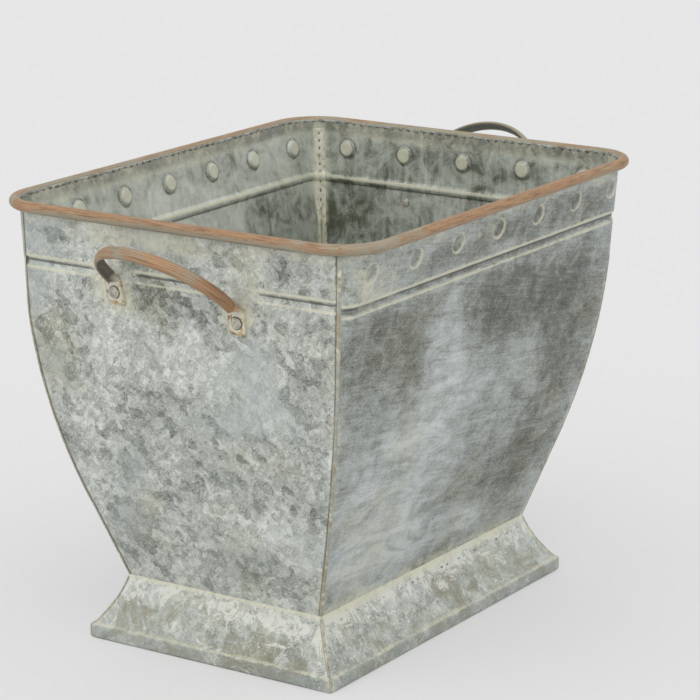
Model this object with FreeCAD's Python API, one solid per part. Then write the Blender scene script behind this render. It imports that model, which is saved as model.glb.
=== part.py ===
import FreeCAD, Part
import math
import os

# Sheet work of the whole planter
sheet = 0.8
overrun = 60.0

# Rim: a wire rolled into the outward turned top edge of the four walls.
# Drops further down are measured from the height of this wire.
rim_length = 371.4
rim_width = 298.2
rim_height = 316.0
rim_corner_radius = 34.0
wire_radius = 3.0
roll_clearance = 0.14
roll_turn_degrees = 300.0

# Walls: flat shoulder under the rim, belly curve, straight taper to the waist
shoulder_drop = 76.0
end_shoulder_inset = 4.5
long_shoulder_inset = 17.0
shoulder_corner_radius = 1.0
belly_end_height = 95.0
belly_end_inset = 29.2
belly_bulge = 4.7
waist_height = 45.5
waist_inset = 44.7
long_side_lean_share = 1.035

# Flanges turned in at the walls' corners and bottom edges
seam_flange = 8.0
seam_root = 1.1
bottom_flange = 8.0
floor_clearance = 0.2
seam_clearance = 0.5

# Dimples pressed into the shoulder from outside
dimple_drop = 19.0
dimple_radius = 7.0
dimple_floor_radius = 5.2
dimple_depth = 2.2
dimple_pitch = 52.5

# Bead groove pressed into the shoulder from outside, a little higher on the left end,
# where it stops short of the handle's feet
bead_drop = 42.5
left_bead_drop = 39.0
bead_width = 7.0
bead_depth = 1.8
bead_foot_gap = 18.0

# Foot: a flared cove strip on each side with a turned under edge
foot_flare = 20.0
foot_edge_height = 11.0
foot_edge_round = 2.0
cove_sag = 2.3
foot_long_flare_share = 1.06
foot_flange = 8.0
foot_top_flange = 10.0

# Solder lines that cover the corners
solder_height = 0.6
solder_width = 3.6
solder_lift = 0.5

# Handles: half-round strap bent to a bow with flattened tabs
handle_drop = 55.0
handle_span = 101.0
strap_width = 9.0
strap_height = 3.2
strap_sheet = 1.4
tab_width = 14.0
tab_height = 17.0
tab_thickness = 1.5
neck_length = 8.0
left_reach = 64.0
right_reach = 71.5
left_rise_degrees = 42.0
right_rise_degrees = 49.5
left_slant_degrees = -4.5
right_slant_degrees = 0.0

# Rivets of the handles
shank_radius = 2.2
hole_clearance = 0.1
head_radius = 4.6
head_height = 2.0
tail_radius = 3.4
tail_height = 1.0

# Share of a round corner's radius between its middle and either side of the sharp corner
arc_middle_share = 1 - math.sqrt(0.5)

# Measures worked out from the sizes above
roll_inner = wire_radius + roll_clearance
roll_outer = roll_inner + sheet
top_half_x = rim_length / 2 - roll_inner
top_half_y = rim_width / 2 - roll_inner
top_corner_radius = rim_corner_radius - roll_inner
shoulder_half_x = top_half_x - end_shoulder_inset
shoulder_half_y = top_half_y - long_shoulder_inset
waist_half_x = shoulder_half_x - waist_inset
waist_half_y = shoulder_half_y - waist_inset * long_side_lean_share
floor_top = waist_height + 2 * sheet
shoulder_height = rim_height - shoulder_drop
bead_radius = (bead_width * bead_width / 4 + bead_depth * bead_depth) / (2 * bead_depth)
bead_lift = bead_radius - bead_depth
seam_share = end_shoulder_inset / long_shoulder_inset
seam_angle = math.acos((1 - seam_share) / math.hypot(1, seam_share)) - math.atan(seam_share)
UP = FreeCAD.Vector(0, 0, 1)
ORIGIN = FreeCAD.Vector(0, 0, 0)


def point(x, y, z):
    """A point of the part's frame."""
    return FreeCAD.Vector(x, y, z)


def line(start, end):
    """A straight edge."""
    return Part.LineSegment(start, end).toShape()


def arc(start, middle, end):
    """A round edge through three points."""
    return Part.Arc(start, middle, end).toShape()


def face_of(edges):
    """A flat face inside one closed run of edges."""
    return Part.Face(Part.Wire(Part.__sortEdges__(edges)))


def block(low, high):
    """A box between two corners."""
    size = high - low
    return Part.makeBox(size.x, size.y, size.z, low)


def turned(shape, degrees):
    """A copy turned about the upright middle line."""
    copy = shape.copy()
    copy.rotate(ORIGIN, UP, degrees)
    return copy


def wall_edges(reach, lean_share, shift):
    """Outline of a wall facing +X, from its shoulder at reach down to the waist, moved out by shift."""
    middle_height = (shoulder_height + belly_end_height) / 2
    middle_inset = belly_end_inset / 2 - belly_bulge

    def spot(inset, height):
        return point(reach - inset * lean_share + shift, 0, height)

    shoulder = spot(0, shoulder_height)
    belly = spot(belly_end_inset, belly_end_height)
    waist = spot(waist_inset, waist_height)
    return [arc(shoulder, spot(middle_inset, middle_height), belly), line(belly, waist)]


def strip_face(outer, inner):
    """Face between an outline and its copy moved sideways, closed level at both ends."""
    top = line(outer[0].firstVertex().Point, inner[0].firstVertex().Point)
    bottom = line(outer[-1].lastVertex().Point, inner[-1].lastVertex().Point)
    return face_of(outer + inner + [top, bottom])


def along_y(face, half_run):
    """Extrudes a face in the XZ plane to both sides."""
    start = face.copy()
    start.translate(point(0, -half_run, 0))
    return start.extrude(point(0, 2 * half_run, 0))


def wedge(reach, half_span, mitre_share):
    """Space of one side: between the two upright mitre planes through its corners."""
    outer = reach + overrun
    outer_half = half_span + overrun * mitre_share
    corners = [point(reach - half_span / mitre_share, 0, -overrun), point(outer, -outer_half, -overrun),
               point(outer, outer_half, -overrun)]
    face = Part.Face(Part.makePolygon(corners + corners[:1]))
    height = rim_height + 2 * overrun
    near_side = block(point(0, -outer_half, -overrun), point(outer, outer_half, height))
    return face.extrude(point(0, 0, height)).common(near_side)


def rounded_outline(half_x, half_y, radius, height):
    """Closed outline of a rectangle with round corners, level at the given height."""
    edges = []
    near = radius * arc_middle_share
    straight_x = half_x - radius
    straight_y = half_y - radius
    edges.append(line(point(half_x, -straight_y, height), point(half_x, straight_y, height)))
    edges.append(arc(point(half_x, straight_y, height), point(half_x - near, half_y - near, height),
                     point(straight_x, half_y, height)))
    edges.append(line(point(straight_x, half_y, height), point(-straight_x, half_y, height)))
    edges.append(arc(point(-straight_x, half_y, height), point(near - half_x, half_y - near, height),
                     point(-half_x, straight_y, height)))
    edges.append(line(point(-half_x, straight_y, height), point(-half_x, -straight_y, height)))
    edges.append(arc(point(-half_x, -straight_y, height), point(near - half_x, near - half_y, height),
                     point(-straight_x, -half_y, height)))
    edges.append(line(point(-straight_x, -half_y, height), point(straight_x, -half_y, height)))
    edges.append(arc(point(straight_x, -half_y, height), point(half_x - near, near - half_y, height),
                     point(half_x, -straight_y, height)))
    return Part.Wire(edges)


def shoulder_block(half_x, half_y, inset_x, inset_y, shift):
    """Solid block bounded by the shoulders, sharp cornered below and round cornered at the rim."""
    top = rounded_outline(half_x + shift, half_y + shift, top_corner_radius + shift, rim_height)
    low_x = half_x - inset_x + shift
    low_y = half_y - inset_y + shift
    low = rounded_outline(low_x, low_y, shoulder_corner_radius, shoulder_height)
    return Part.makeLoft([low, top], True, True)


def roll_section(reach):
    """Section of the rolled edge, open below where the sheet comes back to the wall."""
    centre = point(reach + roll_inner, 0, rim_height)

    def spot(radius, degrees):
        angle = math.radians(180 - degrees)
        return centre + point(radius * math.cos(angle), 0, radius * math.sin(angle))

    half_turn = roll_turn_degrees / 2
    outside = arc(spot(roll_outer, 0), spot(roll_outer, half_turn), spot(roll_outer, roll_turn_degrees))
    inside = arc(spot(roll_inner, 0), spot(roll_inner, half_turn), spot(roll_inner, roll_turn_degrees))
    start = line(spot(roll_outer, 0), spot(roll_inner, 0))
    end = line(spot(roll_outer, roll_turn_degrees), spot(roll_inner, roll_turn_degrees))
    return face_of([outside, inside, start, end])


def round_corner_run(section, reach, half_span, radius):
    """Carries a section along the straight +X side and round the two corners beside it."""
    straight = half_span - radius
    run = [along_y(section, straight)]
    for side in (1, -1):
        at_corner = section.copy()
        at_corner.translate(point(0, side * straight, 0))
        run.append(at_corner.revolve(point(reach - radius, side * straight, 0), UP, side * 90))
    return run[0].fuse(run[1:])


def shoulder_frame(reach, inset, drop):
    """Place on a shoulder's outer face: X along the wall, Y up the wall, Z out of it."""
    lean = math.atan2(inset, shoulder_drop)
    x = reach - inset * drop / shoulder_drop
    sine = math.sin(lean)
    cosine = math.cos(lean)
    height = rim_height - drop
    matrix = FreeCAD.Matrix(0, sine, cosine, x, 1, 0, 0, 0, 0, cosine, -sine, height, 0, 0, 0, 1)
    return FreeCAD.Placement(matrix)


def placed(shape, frame, x=0, turn_degrees=0):
    """A shape made at a wall's frame, moved along the wall and turned about its normal."""
    copy = shape.copy()
    copy.translate(point(x, 0, 0))
    copy.rotate(ORIGIN, UP, turn_degrees)
    copy.Placement = frame.multiply(copy.Placement)
    return copy


def wall_depth(inset):
    """Thickness of a shoulder measured square to its face."""
    return sheet * math.cos(math.atan2(inset, shoulder_drop))


def dimple(inset):
    """Recess and boss of one pressed dimple, at the wall's frame."""
    depth = wall_depth(inset)
    recess = Part.makeCone(dimple_radius, dimple_floor_radius, dimple_depth, ORIGIN, -UP)
    boss_top = point(0, 0, -depth / 2)
    boss_depth = dimple_depth + depth / 2
    boss = Part.makeCone(dimple_radius + sheet, dimple_floor_radius + sheet, boss_depth, boss_top, -UP)
    return recess, boss


def groove(start, end, ball_start, ball_end, radius):
    """Round bar along a wall, on the bead's middle line, with a ball at the ends that ask for one."""
    near = radius * (1 - arc_middle_share)
    left = start
    right = end
    outline = [line(point(start, radius, 0), point(end, radius, 0))]
    if ball_start:
        left = start - radius
        outline.append(arc(point(left, 0, 0), point(start - near, near, 0), point(start, radius, 0)))
    else:
        outline.append(line(point(start, 0, 0), point(start, radius, 0)))
    if ball_end:
        right = end + radius
        outline.append(arc(point(end, radius, 0), point(end + near, near, 0), point(right, 0, 0)))
    else:
        outline.append(line(point(end, radius, 0), point(end, 0, 0)))
    outline.append(line(point(left, 0, 0), point(right, 0, 0)))
    bar = face_of(outline).revolve(ORIGIN, point(1, 0, 0), 360)
    bar.translate(point(0, 0, bead_lift))
    return bar


def corner_radius(drop):
    """Radius of the walls' round corners at a drop below the rim."""
    return top_corner_radius + (shoulder_corner_radius - top_corner_radius) * drop / shoulder_drop


def flat_half(half_span, cross_inset, drop):
    """Half length of a shoulder's flat stretch at a drop below the rim, between its round corners."""
    return half_span - cross_inset * drop / shoulder_drop - corner_radius(drop)


def bead_bars(reach, half_span, insets, drop, foot, radius):
    """Round bars along a wall's bead, carried round both corners and broken at a handle's feet."""
    inset, cross_inset = insets
    frame = shoulder_frame(reach, inset, drop)
    flat = flat_half(half_span, cross_inset, drop)
    axis = frame.Base.x - corner_radius(drop)
    bars = []
    if foot:
        gap = bead_foot_gap + bead_width / 2
        bars.append(groove(gap - foot, foot - gap, True, True, radius))
        bars.append(groove(foot + gap, flat, True, False, radius))
        bars.append(groove(-flat, -foot - gap, False, True, radius))
    else:
        bars.append(groove(-flat, flat, False, False, radius))
    bars = [placed(bar, frame) for bar in bars]
    middle = frame.multVec(point(0, 0, bead_lift))
    section = Part.Face(Part.Wire(Part.makeCircle(radius, middle, point(0, 1, 0))))
    for side in (1, -1):
        at_corner = section.copy()
        at_corner.translate(point(0, side * flat, 0))
        bars.append(at_corner.revolve(point(axis, side * flat, 0), UP, side * 90))
    return bars


def seam_flanges(reach, half_span, lean_share, mitre_share):
    """The two flanges that stand inward along a wall's corners, flat on the mitre planes."""
    slope_length = math.sqrt(1 + mitre_share * mitre_share) * lean_share
    start = seam_root * math.sqrt(1 + mitre_share * mitre_share)
    outer = wall_edges(0, slope_length, -start)
    inner = wall_edges(0, slope_length, -start - seam_flange)
    trim = block(point(-rim_length, -rim_width, floor_top + seam_clearance), point(0, rim_width, rim_height))
    flanges = []
    for side in (1, -1):
        flange = strip_face(outer, inner).extrude(point(0, -side * sheet, 0)).common(trim)
        flange.rotate(ORIGIN, UP, side * math.degrees(math.atan(mitre_share)))
        flange.translate(point(reach, side * half_span, 0))
        flanges.append(flange)
    return flanges


def wall_panel(reach, half_span, insets, lean_shares, groove_drop, foot, holes):
    """One wall facing +X, with its rolled edge, flanges, dimples and bead.

    Insets and lean shares give the wall's own value first and that of the walls beside it next.
    """
    inset, cross_inset = insets
    lean_share, cross_share = lean_shares
    mitre_share = cross_share / lean_share
    shoulder = reach - inset
    shoulder_span = half_span - cross_inset
    skin = strip_face(wall_edges(shoulder, lean_share, 0), wall_edges(shoulder, lean_share, -sheet))
    lower = along_y(skin, half_span + overrun)
    waist = shoulder - waist_inset * lean_share
    bottom_low = point(waist - bottom_flange, -half_span, waist_height)
    bottom = block(bottom_low, point(waist, half_span, waist_height + sheet))
    ring = shoulder_block(reach, half_span, inset, cross_inset, 0)
    ring = ring.cut(shoulder_block(reach, half_span, inset, cross_inset, -sheet))
    wire_reach = reach + roll_inner
    wire_span = half_span + roll_inner
    roll = round_corner_run(roll_section(reach), wire_reach, wire_span, rim_corner_radius)
    body_side = wedge(shoulder, shoulder_span, mitre_share)
    shoulder_side = wedge(reach, half_span, cross_inset / inset)
    pieces = [piece.common(body_side) for piece in (lower, bottom)]
    pieces += [piece.common(shoulder_side) for piece in (ring, roll)]
    pieces += seam_flanges(shoulder, shoulder_span, lean_share, mitre_share)
    recesses = []
    frame = shoulder_frame(reach, inset, dimple_drop)
    recess, boss = dimple(inset)
    spaces = int(2 * flat_half(half_span, cross_inset, dimple_drop) / dimple_pitch)
    for number in range(spaces + 1):
        place = (number - spaces / 2) * dimple_pitch
        recesses.append(placed(recess, frame, place))
        pieces.append(placed(boss, frame, place))
    inside = shoulder_block(reach, half_span, inset, cross_inset, -sheet / 2).common(shoulder_side)
    for ridge in bead_bars(reach, half_span, insets, groove_drop, foot, bead_radius + sheet):
        pieces.append(ridge.common(inside))
    recesses += bead_bars(reach, half_span, insets, groove_drop, foot, bead_radius)
    panel = pieces[0].fuse(pieces[1:])
    return panel.cut(recesses + holes).removeSplitter()


def foot_edges(waist, flare_share, shift):
    """Outline of a foot strip facing +X, from the waist down to the ground, moved out by shift."""
    round_share = foot_edge_round * arc_middle_share

    def spot(out, height):
        return point(waist + out * flare_share + shift, 0, height)

    crest = foot_flare - foot_edge_round
    drop = waist_height - foot_edge_height
    chord = math.hypot(crest, drop)
    top = spot(0, waist_height)
    lip = spot(crest, foot_edge_height)
    middle_height = (waist_height + foot_edge_height) / 2
    sag = spot(crest / 2 - cove_sag * drop / chord, middle_height - cove_sag * crest / chord)
    edge = spot(foot_flare, foot_edge_height - foot_edge_round)
    edge_middle = spot(foot_flare - round_share, foot_edge_height - round_share)
    ground = spot(foot_flare, 0)
    return [arc(top, sag, lip), arc(lip, edge_middle, edge), line(edge, ground)]


def foot_panel(waist, half_span, flare_share, mitre_share):
    """One strip of the foot facing +X, with the flange under the body and the turned under edge."""
    skin = strip_face(foot_edges(waist, flare_share, 0), foot_edges(waist, flare_share, -sheet))
    run = half_span + overrun
    ground = waist + foot_flare * flare_share
    top = block(point(waist - foot_top_flange, -run, waist_height - sheet), point(waist, run, waist_height))
    under = block(point(ground - foot_flange, -run, 0), point(ground, run, sheet))
    strip = along_y(skin, run).fuse([top, under])
    return strip.common(wedge(waist, half_span, mitre_share)).removeSplitter()


def profile_block(edges, half_run):
    """Solid behind an outline: from the middle plane out to the outline, along Y to both sides."""
    top = edges[0].firstVertex().Point
    bottom = edges[-1].lastVertex().Point
    inner_top = point(0, 0, top.z)
    inner_bottom = point(0, 0, bottom.z)
    closing = [line(top, inner_top), line(inner_top, inner_bottom), line(inner_bottom, bottom)]
    return along_y(face_of(edges + closing), half_run)


def corner_strip(corner_x, corner_y, mitre_share):
    """Upright slab along a mitre plane, as wide as a solder line."""
    slab = block(point(-rim_length, -solder_width / 2, 0), point(rim_length, solder_width / 2, rim_height))
    slab.rotate(ORIGIN, UP, math.degrees(math.atan(mitre_share)))
    slab.translate(point(corner_x, corner_y, 0))
    return slab


def body_block(shift):
    """The body below the shoulder as a block, moved out by shift on every side."""
    ends = profile_block(wall_edges(shoulder_half_x, 1, shift), rim_width)
    sides = turned(profile_block(wall_edges(shoulder_half_y, long_side_lean_share, shift), rim_length), 90)
    return ends.common(sides)


def seam_spot(drop):
    """Point of the shoulder's corner seam at +X +Y, at a drop below the rim."""
    drop_share = drop / shoulder_drop
    radius = corner_radius(drop)
    x = top_half_x - end_shoulder_inset * drop_share - radius * (1 - math.cos(seam_angle))
    y = top_half_y - long_shoulder_inset * drop_share - radius * (1 - math.sin(seam_angle))
    return point(x, y, rim_height - drop)


def seam_strip(low, high):
    """Leaning slab along one stretch of the corner seam, as wide as a solder line."""
    half = solder_width / 2
    corners = [point(-solder_width, -half, 0), point(solder_width, -half, 0), point(solder_width, half, 0),
               point(-solder_width, half, 0)]
    face = Part.Face(Part.makePolygon(corners + corners[:1]))
    face.rotate(ORIGIN, UP, math.degrees(seam_angle))
    face.translate(low)
    return face.extrude(high - low)


def body_solder():
    """Solder line down the corner of the body at +X +Y."""
    strip = corner_strip(shoulder_half_x, shoulder_half_y, long_side_lean_share)
    lower = body_block(solder_height).cut(body_block(0))
    upper = shoulder_block(top_half_x, top_half_y, end_shoulder_inset, long_shoulder_inset, solder_height)
    upper = upper.cut(shoulder_block(top_half_x, top_half_y, end_shoulder_inset, long_shoulder_inset, 0))
    quarter = block(ORIGIN, point(rim_length, rim_width, rim_height - roll_outer - solder_lift))
    upper_strip = seam_strip(seam_spot(shoulder_drop), seam_spot(0))
    lower = lower.common(strip.common(quarter))
    return lower.fuse(upper.common(upper_strip.common(quarter))).removeSplitter()


def foot_block(shift):
    """The foot as a block, moved out by shift on every side."""
    ends = profile_block(foot_edges(waist_half_x, 1, shift), rim_width)
    sides = turned(profile_block(foot_edges(waist_half_y, foot_long_flare_share, shift), rim_length), 90)
    return ends.common(sides)


def foot_solder():
    """Solder line down the corner of the foot at +X +Y."""
    strip = corner_strip(waist_half_x, waist_half_y, foot_long_flare_share)
    quarter = block(point(0, 0, solder_lift), point(rim_length, rim_width, waist_height))
    return foot_block(solder_height).cut(foot_block(0)).common(strip.common(quarter)).removeSplitter()


def rim_wire():
    """The wire inside the roll, one closed ring."""
    reach = rim_length / 2
    across = rim_width / 2
    straight_x = reach - rim_corner_radius
    straight_y = across - rim_corner_radius
    section = Part.Face(Part.Wire(Part.makeCircle(wire_radius, point(reach, 0, rim_height), point(0, 1, 0))))
    ends = round_corner_run(section, reach, across, rim_corner_radius)
    side_start = point(-straight_x, across, rim_height)
    side = Part.makeCylinder(wire_radius, 2 * straight_x, side_start, point(1, 0, 0))
    return ends.fuse([side, turned(ends, 180), turned(side, 180)]).removeSplitter()


def floor_plate():
    """Flat sheet that closes the body, lying on the walls' bottom flanges."""
    half_x = waist_half_x - sheet - floor_clearance
    half_y = waist_half_y - sheet - floor_clearance
    low = waist_height + sheet
    return block(point(-half_x, -half_y, low), point(half_x, half_y, low + sheet))


def strap_section():
    """Half-round hollow section of the strap, its back towards +X and its width along Z."""
    half = strap_width / 2
    inner_half = half - strap_sheet
    outer = arc(point(0, 0, -half), point(strap_height, 0, 0), point(0, 0, half))
    inner = arc(point(0, 0, -inner_half), point(strap_height - strap_sheet, 0, 0), point(0, 0, inner_half))
    low = line(point(0, 0, -half), point(0, 0, -inner_half))
    high = line(point(0, 0, half), point(0, 0, inner_half))
    return face_of([outer, inner, low, high])


def handle(reach, rise_degrees):
    """Bow, necks and tabs of one handle at the wall's frame, its middle at the frame's origin."""
    half_span = handle_span / 2
    bow_radius = half_span - strap_height / 2
    leg = reach - strap_height - bow_radius
    section = strap_section()
    section.translate(point(bow_radius, leg, 0))
    bow = section.revolve(point(0, leg, 0), UP, 180)
    straight = section.extrude(point(0, neck_length - leg, 0))
    other = straight.copy()
    other.rotate(ORIGIN, point(0, 1, 0), 180)
    strap = bow.fuse([straight, other])
    strap.rotate(ORIGIN, point(1, 0, 0), 90 - rise_degrees)
    root = point(0, tab_height / 2 - tab_thickness, tab_thickness / 2)
    strap.translate(root)
    pieces = [strap]
    turn = FreeCAD.Rotation(point(1, 0, 0), 90 - rise_degrees)
    for side in (1, -1):
        neck_end = [point(side * bow_radius, neck_length, -strap_width / 2),
                    point(side * (bow_radius + strap_height), neck_length, -strap_width / 2),
                    point(side * (bow_radius + strap_height), neck_length, strap_width / 2),
                    point(side * bow_radius, neck_length, strap_width / 2)]
        neck_end = [turn.multVec(spot) + root for spot in neck_end]
        inner = side * (half_span - tab_width / 2)
        outer = side * (half_span + tab_width / 2)
        tab_top = tab_height / 2
        tab_end = [point(inner, tab_top, 0), point(outer, tab_top, 0),
                   point(outer, tab_top, tab_thickness), point(inner, tab_top, tab_thickness)]
        rings = [Part.makePolygon(ring + ring[:1]) for ring in (tab_end, neck_end)]
        pieces.append(Part.makeLoft(rings, True, True))
        low = point(min(inner, outer), -tab_top, 0)
        pieces.append(block(low, low + point(tab_width, tab_height, tab_thickness)))
    whole = pieces[0].fuse(pieces[1:])
    return whole.cut(rivet_holes()).removeSplitter()


def rivet_holes():
    """Cutters for the two rivet holes of a handle, at the wall's frame."""
    radius = shank_radius + hole_clearance
    holes = []
    for side in (1, -1):
        start = point(side * handle_span / 2, 0, -tab_height)
        holes.append(Part.makeCylinder(radius, tab_height + tab_thickness + sheet, start, UP))
    return holes


def rivets():
    """The two rivets of a handle at the wall's frame: domed head outside, flat tail inside."""
    depth = wall_depth(end_shoulder_inset)
    head_low = tab_thickness
    head_top = tab_thickness + head_height
    dome_radius = (head_radius * head_radius + head_height * head_height) / (2 * head_height)
    half_angle = math.asin(head_radius / dome_radius) / 2
    side_drop = dome_radius * (1 - math.cos(half_angle))
    side_spot = point(dome_radius * math.sin(half_angle), 0, head_top - side_drop)
    outline = [line(point(0, 0, head_top), point(0, 0, -depth - tail_height)),
               line(point(0, 0, -depth - tail_height), point(tail_radius, 0, -depth - tail_height)),
               line(point(tail_radius, 0, -depth - tail_height), point(tail_radius, 0, -depth)),
               line(point(tail_radius, 0, -depth), point(shank_radius, 0, -depth)),
               line(point(shank_radius, 0, -depth), point(shank_radius, 0, head_low)),
               line(point(shank_radius, 0, head_low), point(head_radius, 0, head_low)),
               arc(point(head_radius, 0, head_low), side_spot, point(0, 0, head_top))]
    rivet = face_of(outline).revolve(ORIGIN, UP, 360)
    return [placed(rivet, FreeCAD.Placement(), side * handle_span / 2) for side in (1, -1)]


def end_wall(slant_degrees, drop, foot):
    """An end wall facing +X, with holes for the rivets of a handle set at a slant."""
    frame = shoulder_frame(top_half_x, end_shoulder_inset, handle_drop)
    holes = [placed(hole, frame, 0, slant_degrees) for hole in rivet_holes()]
    insets = (end_shoulder_inset, long_shoulder_inset)
    lean_shares = (1, long_side_lean_share)
    return wall_panel(top_half_x, top_half_y, insets, lean_shares, drop, foot, holes)


def long_wall():
    """A long wall facing +X, to be turned to its side."""
    insets = (long_shoulder_inset, end_shoulder_inset)
    lean_shares = (long_side_lean_share, 1)
    return wall_panel(top_half_y, top_half_x, insets, lean_shares, bead_drop, 0, [])


def export(name, shape):
    """Writes one node's solids."""
    shape.exportStep("parts/" + name + ".step")
    print(name, len(shape.Solids), shape.isValid(), round(shape.Volume, 1), shape.BoundBox)


os.makedirs("parts", exist_ok=True)

export("end_panel_right", end_wall(right_slant_degrees, bead_drop, 0))
left_end = end_wall(left_slant_degrees, left_bead_drop, handle_span / 2)
export("end_panel_left", turned(left_end, 180))
long_panel = long_wall()
export("long_panel_front", turned(long_panel, -90))
export("long_panel_back", turned(long_panel, 90))

foot_end = foot_panel(waist_half_x, waist_half_y, 1, foot_long_flare_share)
foot_long = foot_panel(waist_half_y, waist_half_x, foot_long_flare_share, 1 / foot_long_flare_share)
for name, strip, degrees in (("right", foot_end, 0), ("left", foot_end, 180),
                             ("front", foot_long, -90), ("back", foot_long, 90)):
    export("foot_panel_" + name, turned(strip, degrees))

for name, line_shape in (("corner_solder_", body_solder()), ("foot_solder_", foot_solder())):
    mirrored = line_shape.mirror(ORIGIN, point(1, 0, 0))
    export(name + "back_right", line_shape)
    export(name + "front_left", turned(line_shape, 180))
    export(name + "back_left", mirrored)
    export(name + "front_right", turned(mirrored, 180))

export("rim_wire", rim_wire())
export("floor_plate", floor_plate())

handle_frame = shoulder_frame(top_half_x, end_shoulder_inset, handle_drop)
for name, reach, rise, slant, degrees in (("right", right_reach, right_rise_degrees, right_slant_degrees, 0),
                                          ("left", left_reach, left_rise_degrees, left_slant_degrees, 180)):
    bow = placed(handle(reach, rise), handle_frame, 0, slant)
    pins = [placed(pin, handle_frame, 0, slant) for pin in rivets()]
    export("handle_" + name, turned(bow, degrees))
    export("handle_rivets_" + name, turned(Part.makeCompound(pins), degrees))
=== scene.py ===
"""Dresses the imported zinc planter: aged sheet walls, wired rim, flared foot, solder lines, handles and rivets."""

import math

import bpy
import numpy as np
from bpy.props import FloatProperty, FloatVectorProperty, PointerProperty
from mathutils import Matrix, Vector


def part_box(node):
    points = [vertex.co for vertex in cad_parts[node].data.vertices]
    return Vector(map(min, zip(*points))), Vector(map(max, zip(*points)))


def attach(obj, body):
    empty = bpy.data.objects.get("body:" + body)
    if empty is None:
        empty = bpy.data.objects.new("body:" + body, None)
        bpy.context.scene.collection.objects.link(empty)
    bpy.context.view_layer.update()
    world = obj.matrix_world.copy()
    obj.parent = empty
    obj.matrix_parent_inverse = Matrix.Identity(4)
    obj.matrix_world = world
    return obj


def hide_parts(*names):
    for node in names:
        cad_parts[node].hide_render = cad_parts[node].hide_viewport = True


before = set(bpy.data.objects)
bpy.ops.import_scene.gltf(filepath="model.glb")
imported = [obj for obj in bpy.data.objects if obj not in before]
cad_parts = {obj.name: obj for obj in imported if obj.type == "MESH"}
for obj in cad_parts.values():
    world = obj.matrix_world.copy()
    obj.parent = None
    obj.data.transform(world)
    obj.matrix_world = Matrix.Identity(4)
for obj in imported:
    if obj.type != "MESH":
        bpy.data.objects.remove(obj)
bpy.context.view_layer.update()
WIRE_LOW, WIRE_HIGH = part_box("rim_wire")
FLOOR_LOW, FLOOR_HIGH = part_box("floor_plate")
FOOT_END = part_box("foot_panel_right")[1]
FOOT_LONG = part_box("foot_panel_back")[1]
WIRE_RADIUS = (WIRE_HIGH.z - WIRE_LOW.z) / 2

bl_info = {
    "name": "Zinc planter",
    "version": (1, 0, 0),
    "blender": (4, 5, 0),
    "location": "3D View > Sidebar > Planter",
    "description": "Builds the aged zinc planter over its packed frame",
    "category": "Object",
}

MM = 0.001
CORNERS = (("front_left", -1, -1), ("front_right", 1, -1), ("back_left", -1, 1), ("back_right", 1, 1))
# Name of each side, its kind and its turn from +X in degrees
SIDES = (("right", "end", 0), ("left", "end", 180), ("front", "long", -90), ("back", "long", 90))
FLANGE_ROWS = 2
ROLL_START, ROLL_END, ROLL_ROWS = 165, -120, 20
STRAP_POINTS = 15
RIVET_AROUND = 28
CRIMP_SPOTS, TICK_SPOTS = 60, 80
# First seeds of the waves in walls, foot strips, floor, solder lines of body and foot, and filler strips
WALL_SEED, FOOT_SEED, FLOOR_SEED, CORNER_SEED, FOOT_LINE_SEED, FILLER_SEED = 11, 31, 7, 51, 71, 91
# Edges sharper than these stay sharp, in degrees
SHEET_SHARP, STRAP_SHARP, BAR_SHARP = 40.0, 50.0, 60.0
# Camera fitted to the photo: turn, height and roll in degrees, aim and distance in metres, lens in mm
CAMERA_TURN, CAMERA_RISE, CAMERA_ROLL = -56.51, 14.92, -0.304
CAMERA_AIM, CAMERA_DISTANCE, CAMERA_LENS, CAMERA_SHIFT = (0.0189, -0.0285, 0.1901), 2.142, 153.65, (-0.039, 0.0016)
STAGE_HALF = 60.0

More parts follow.
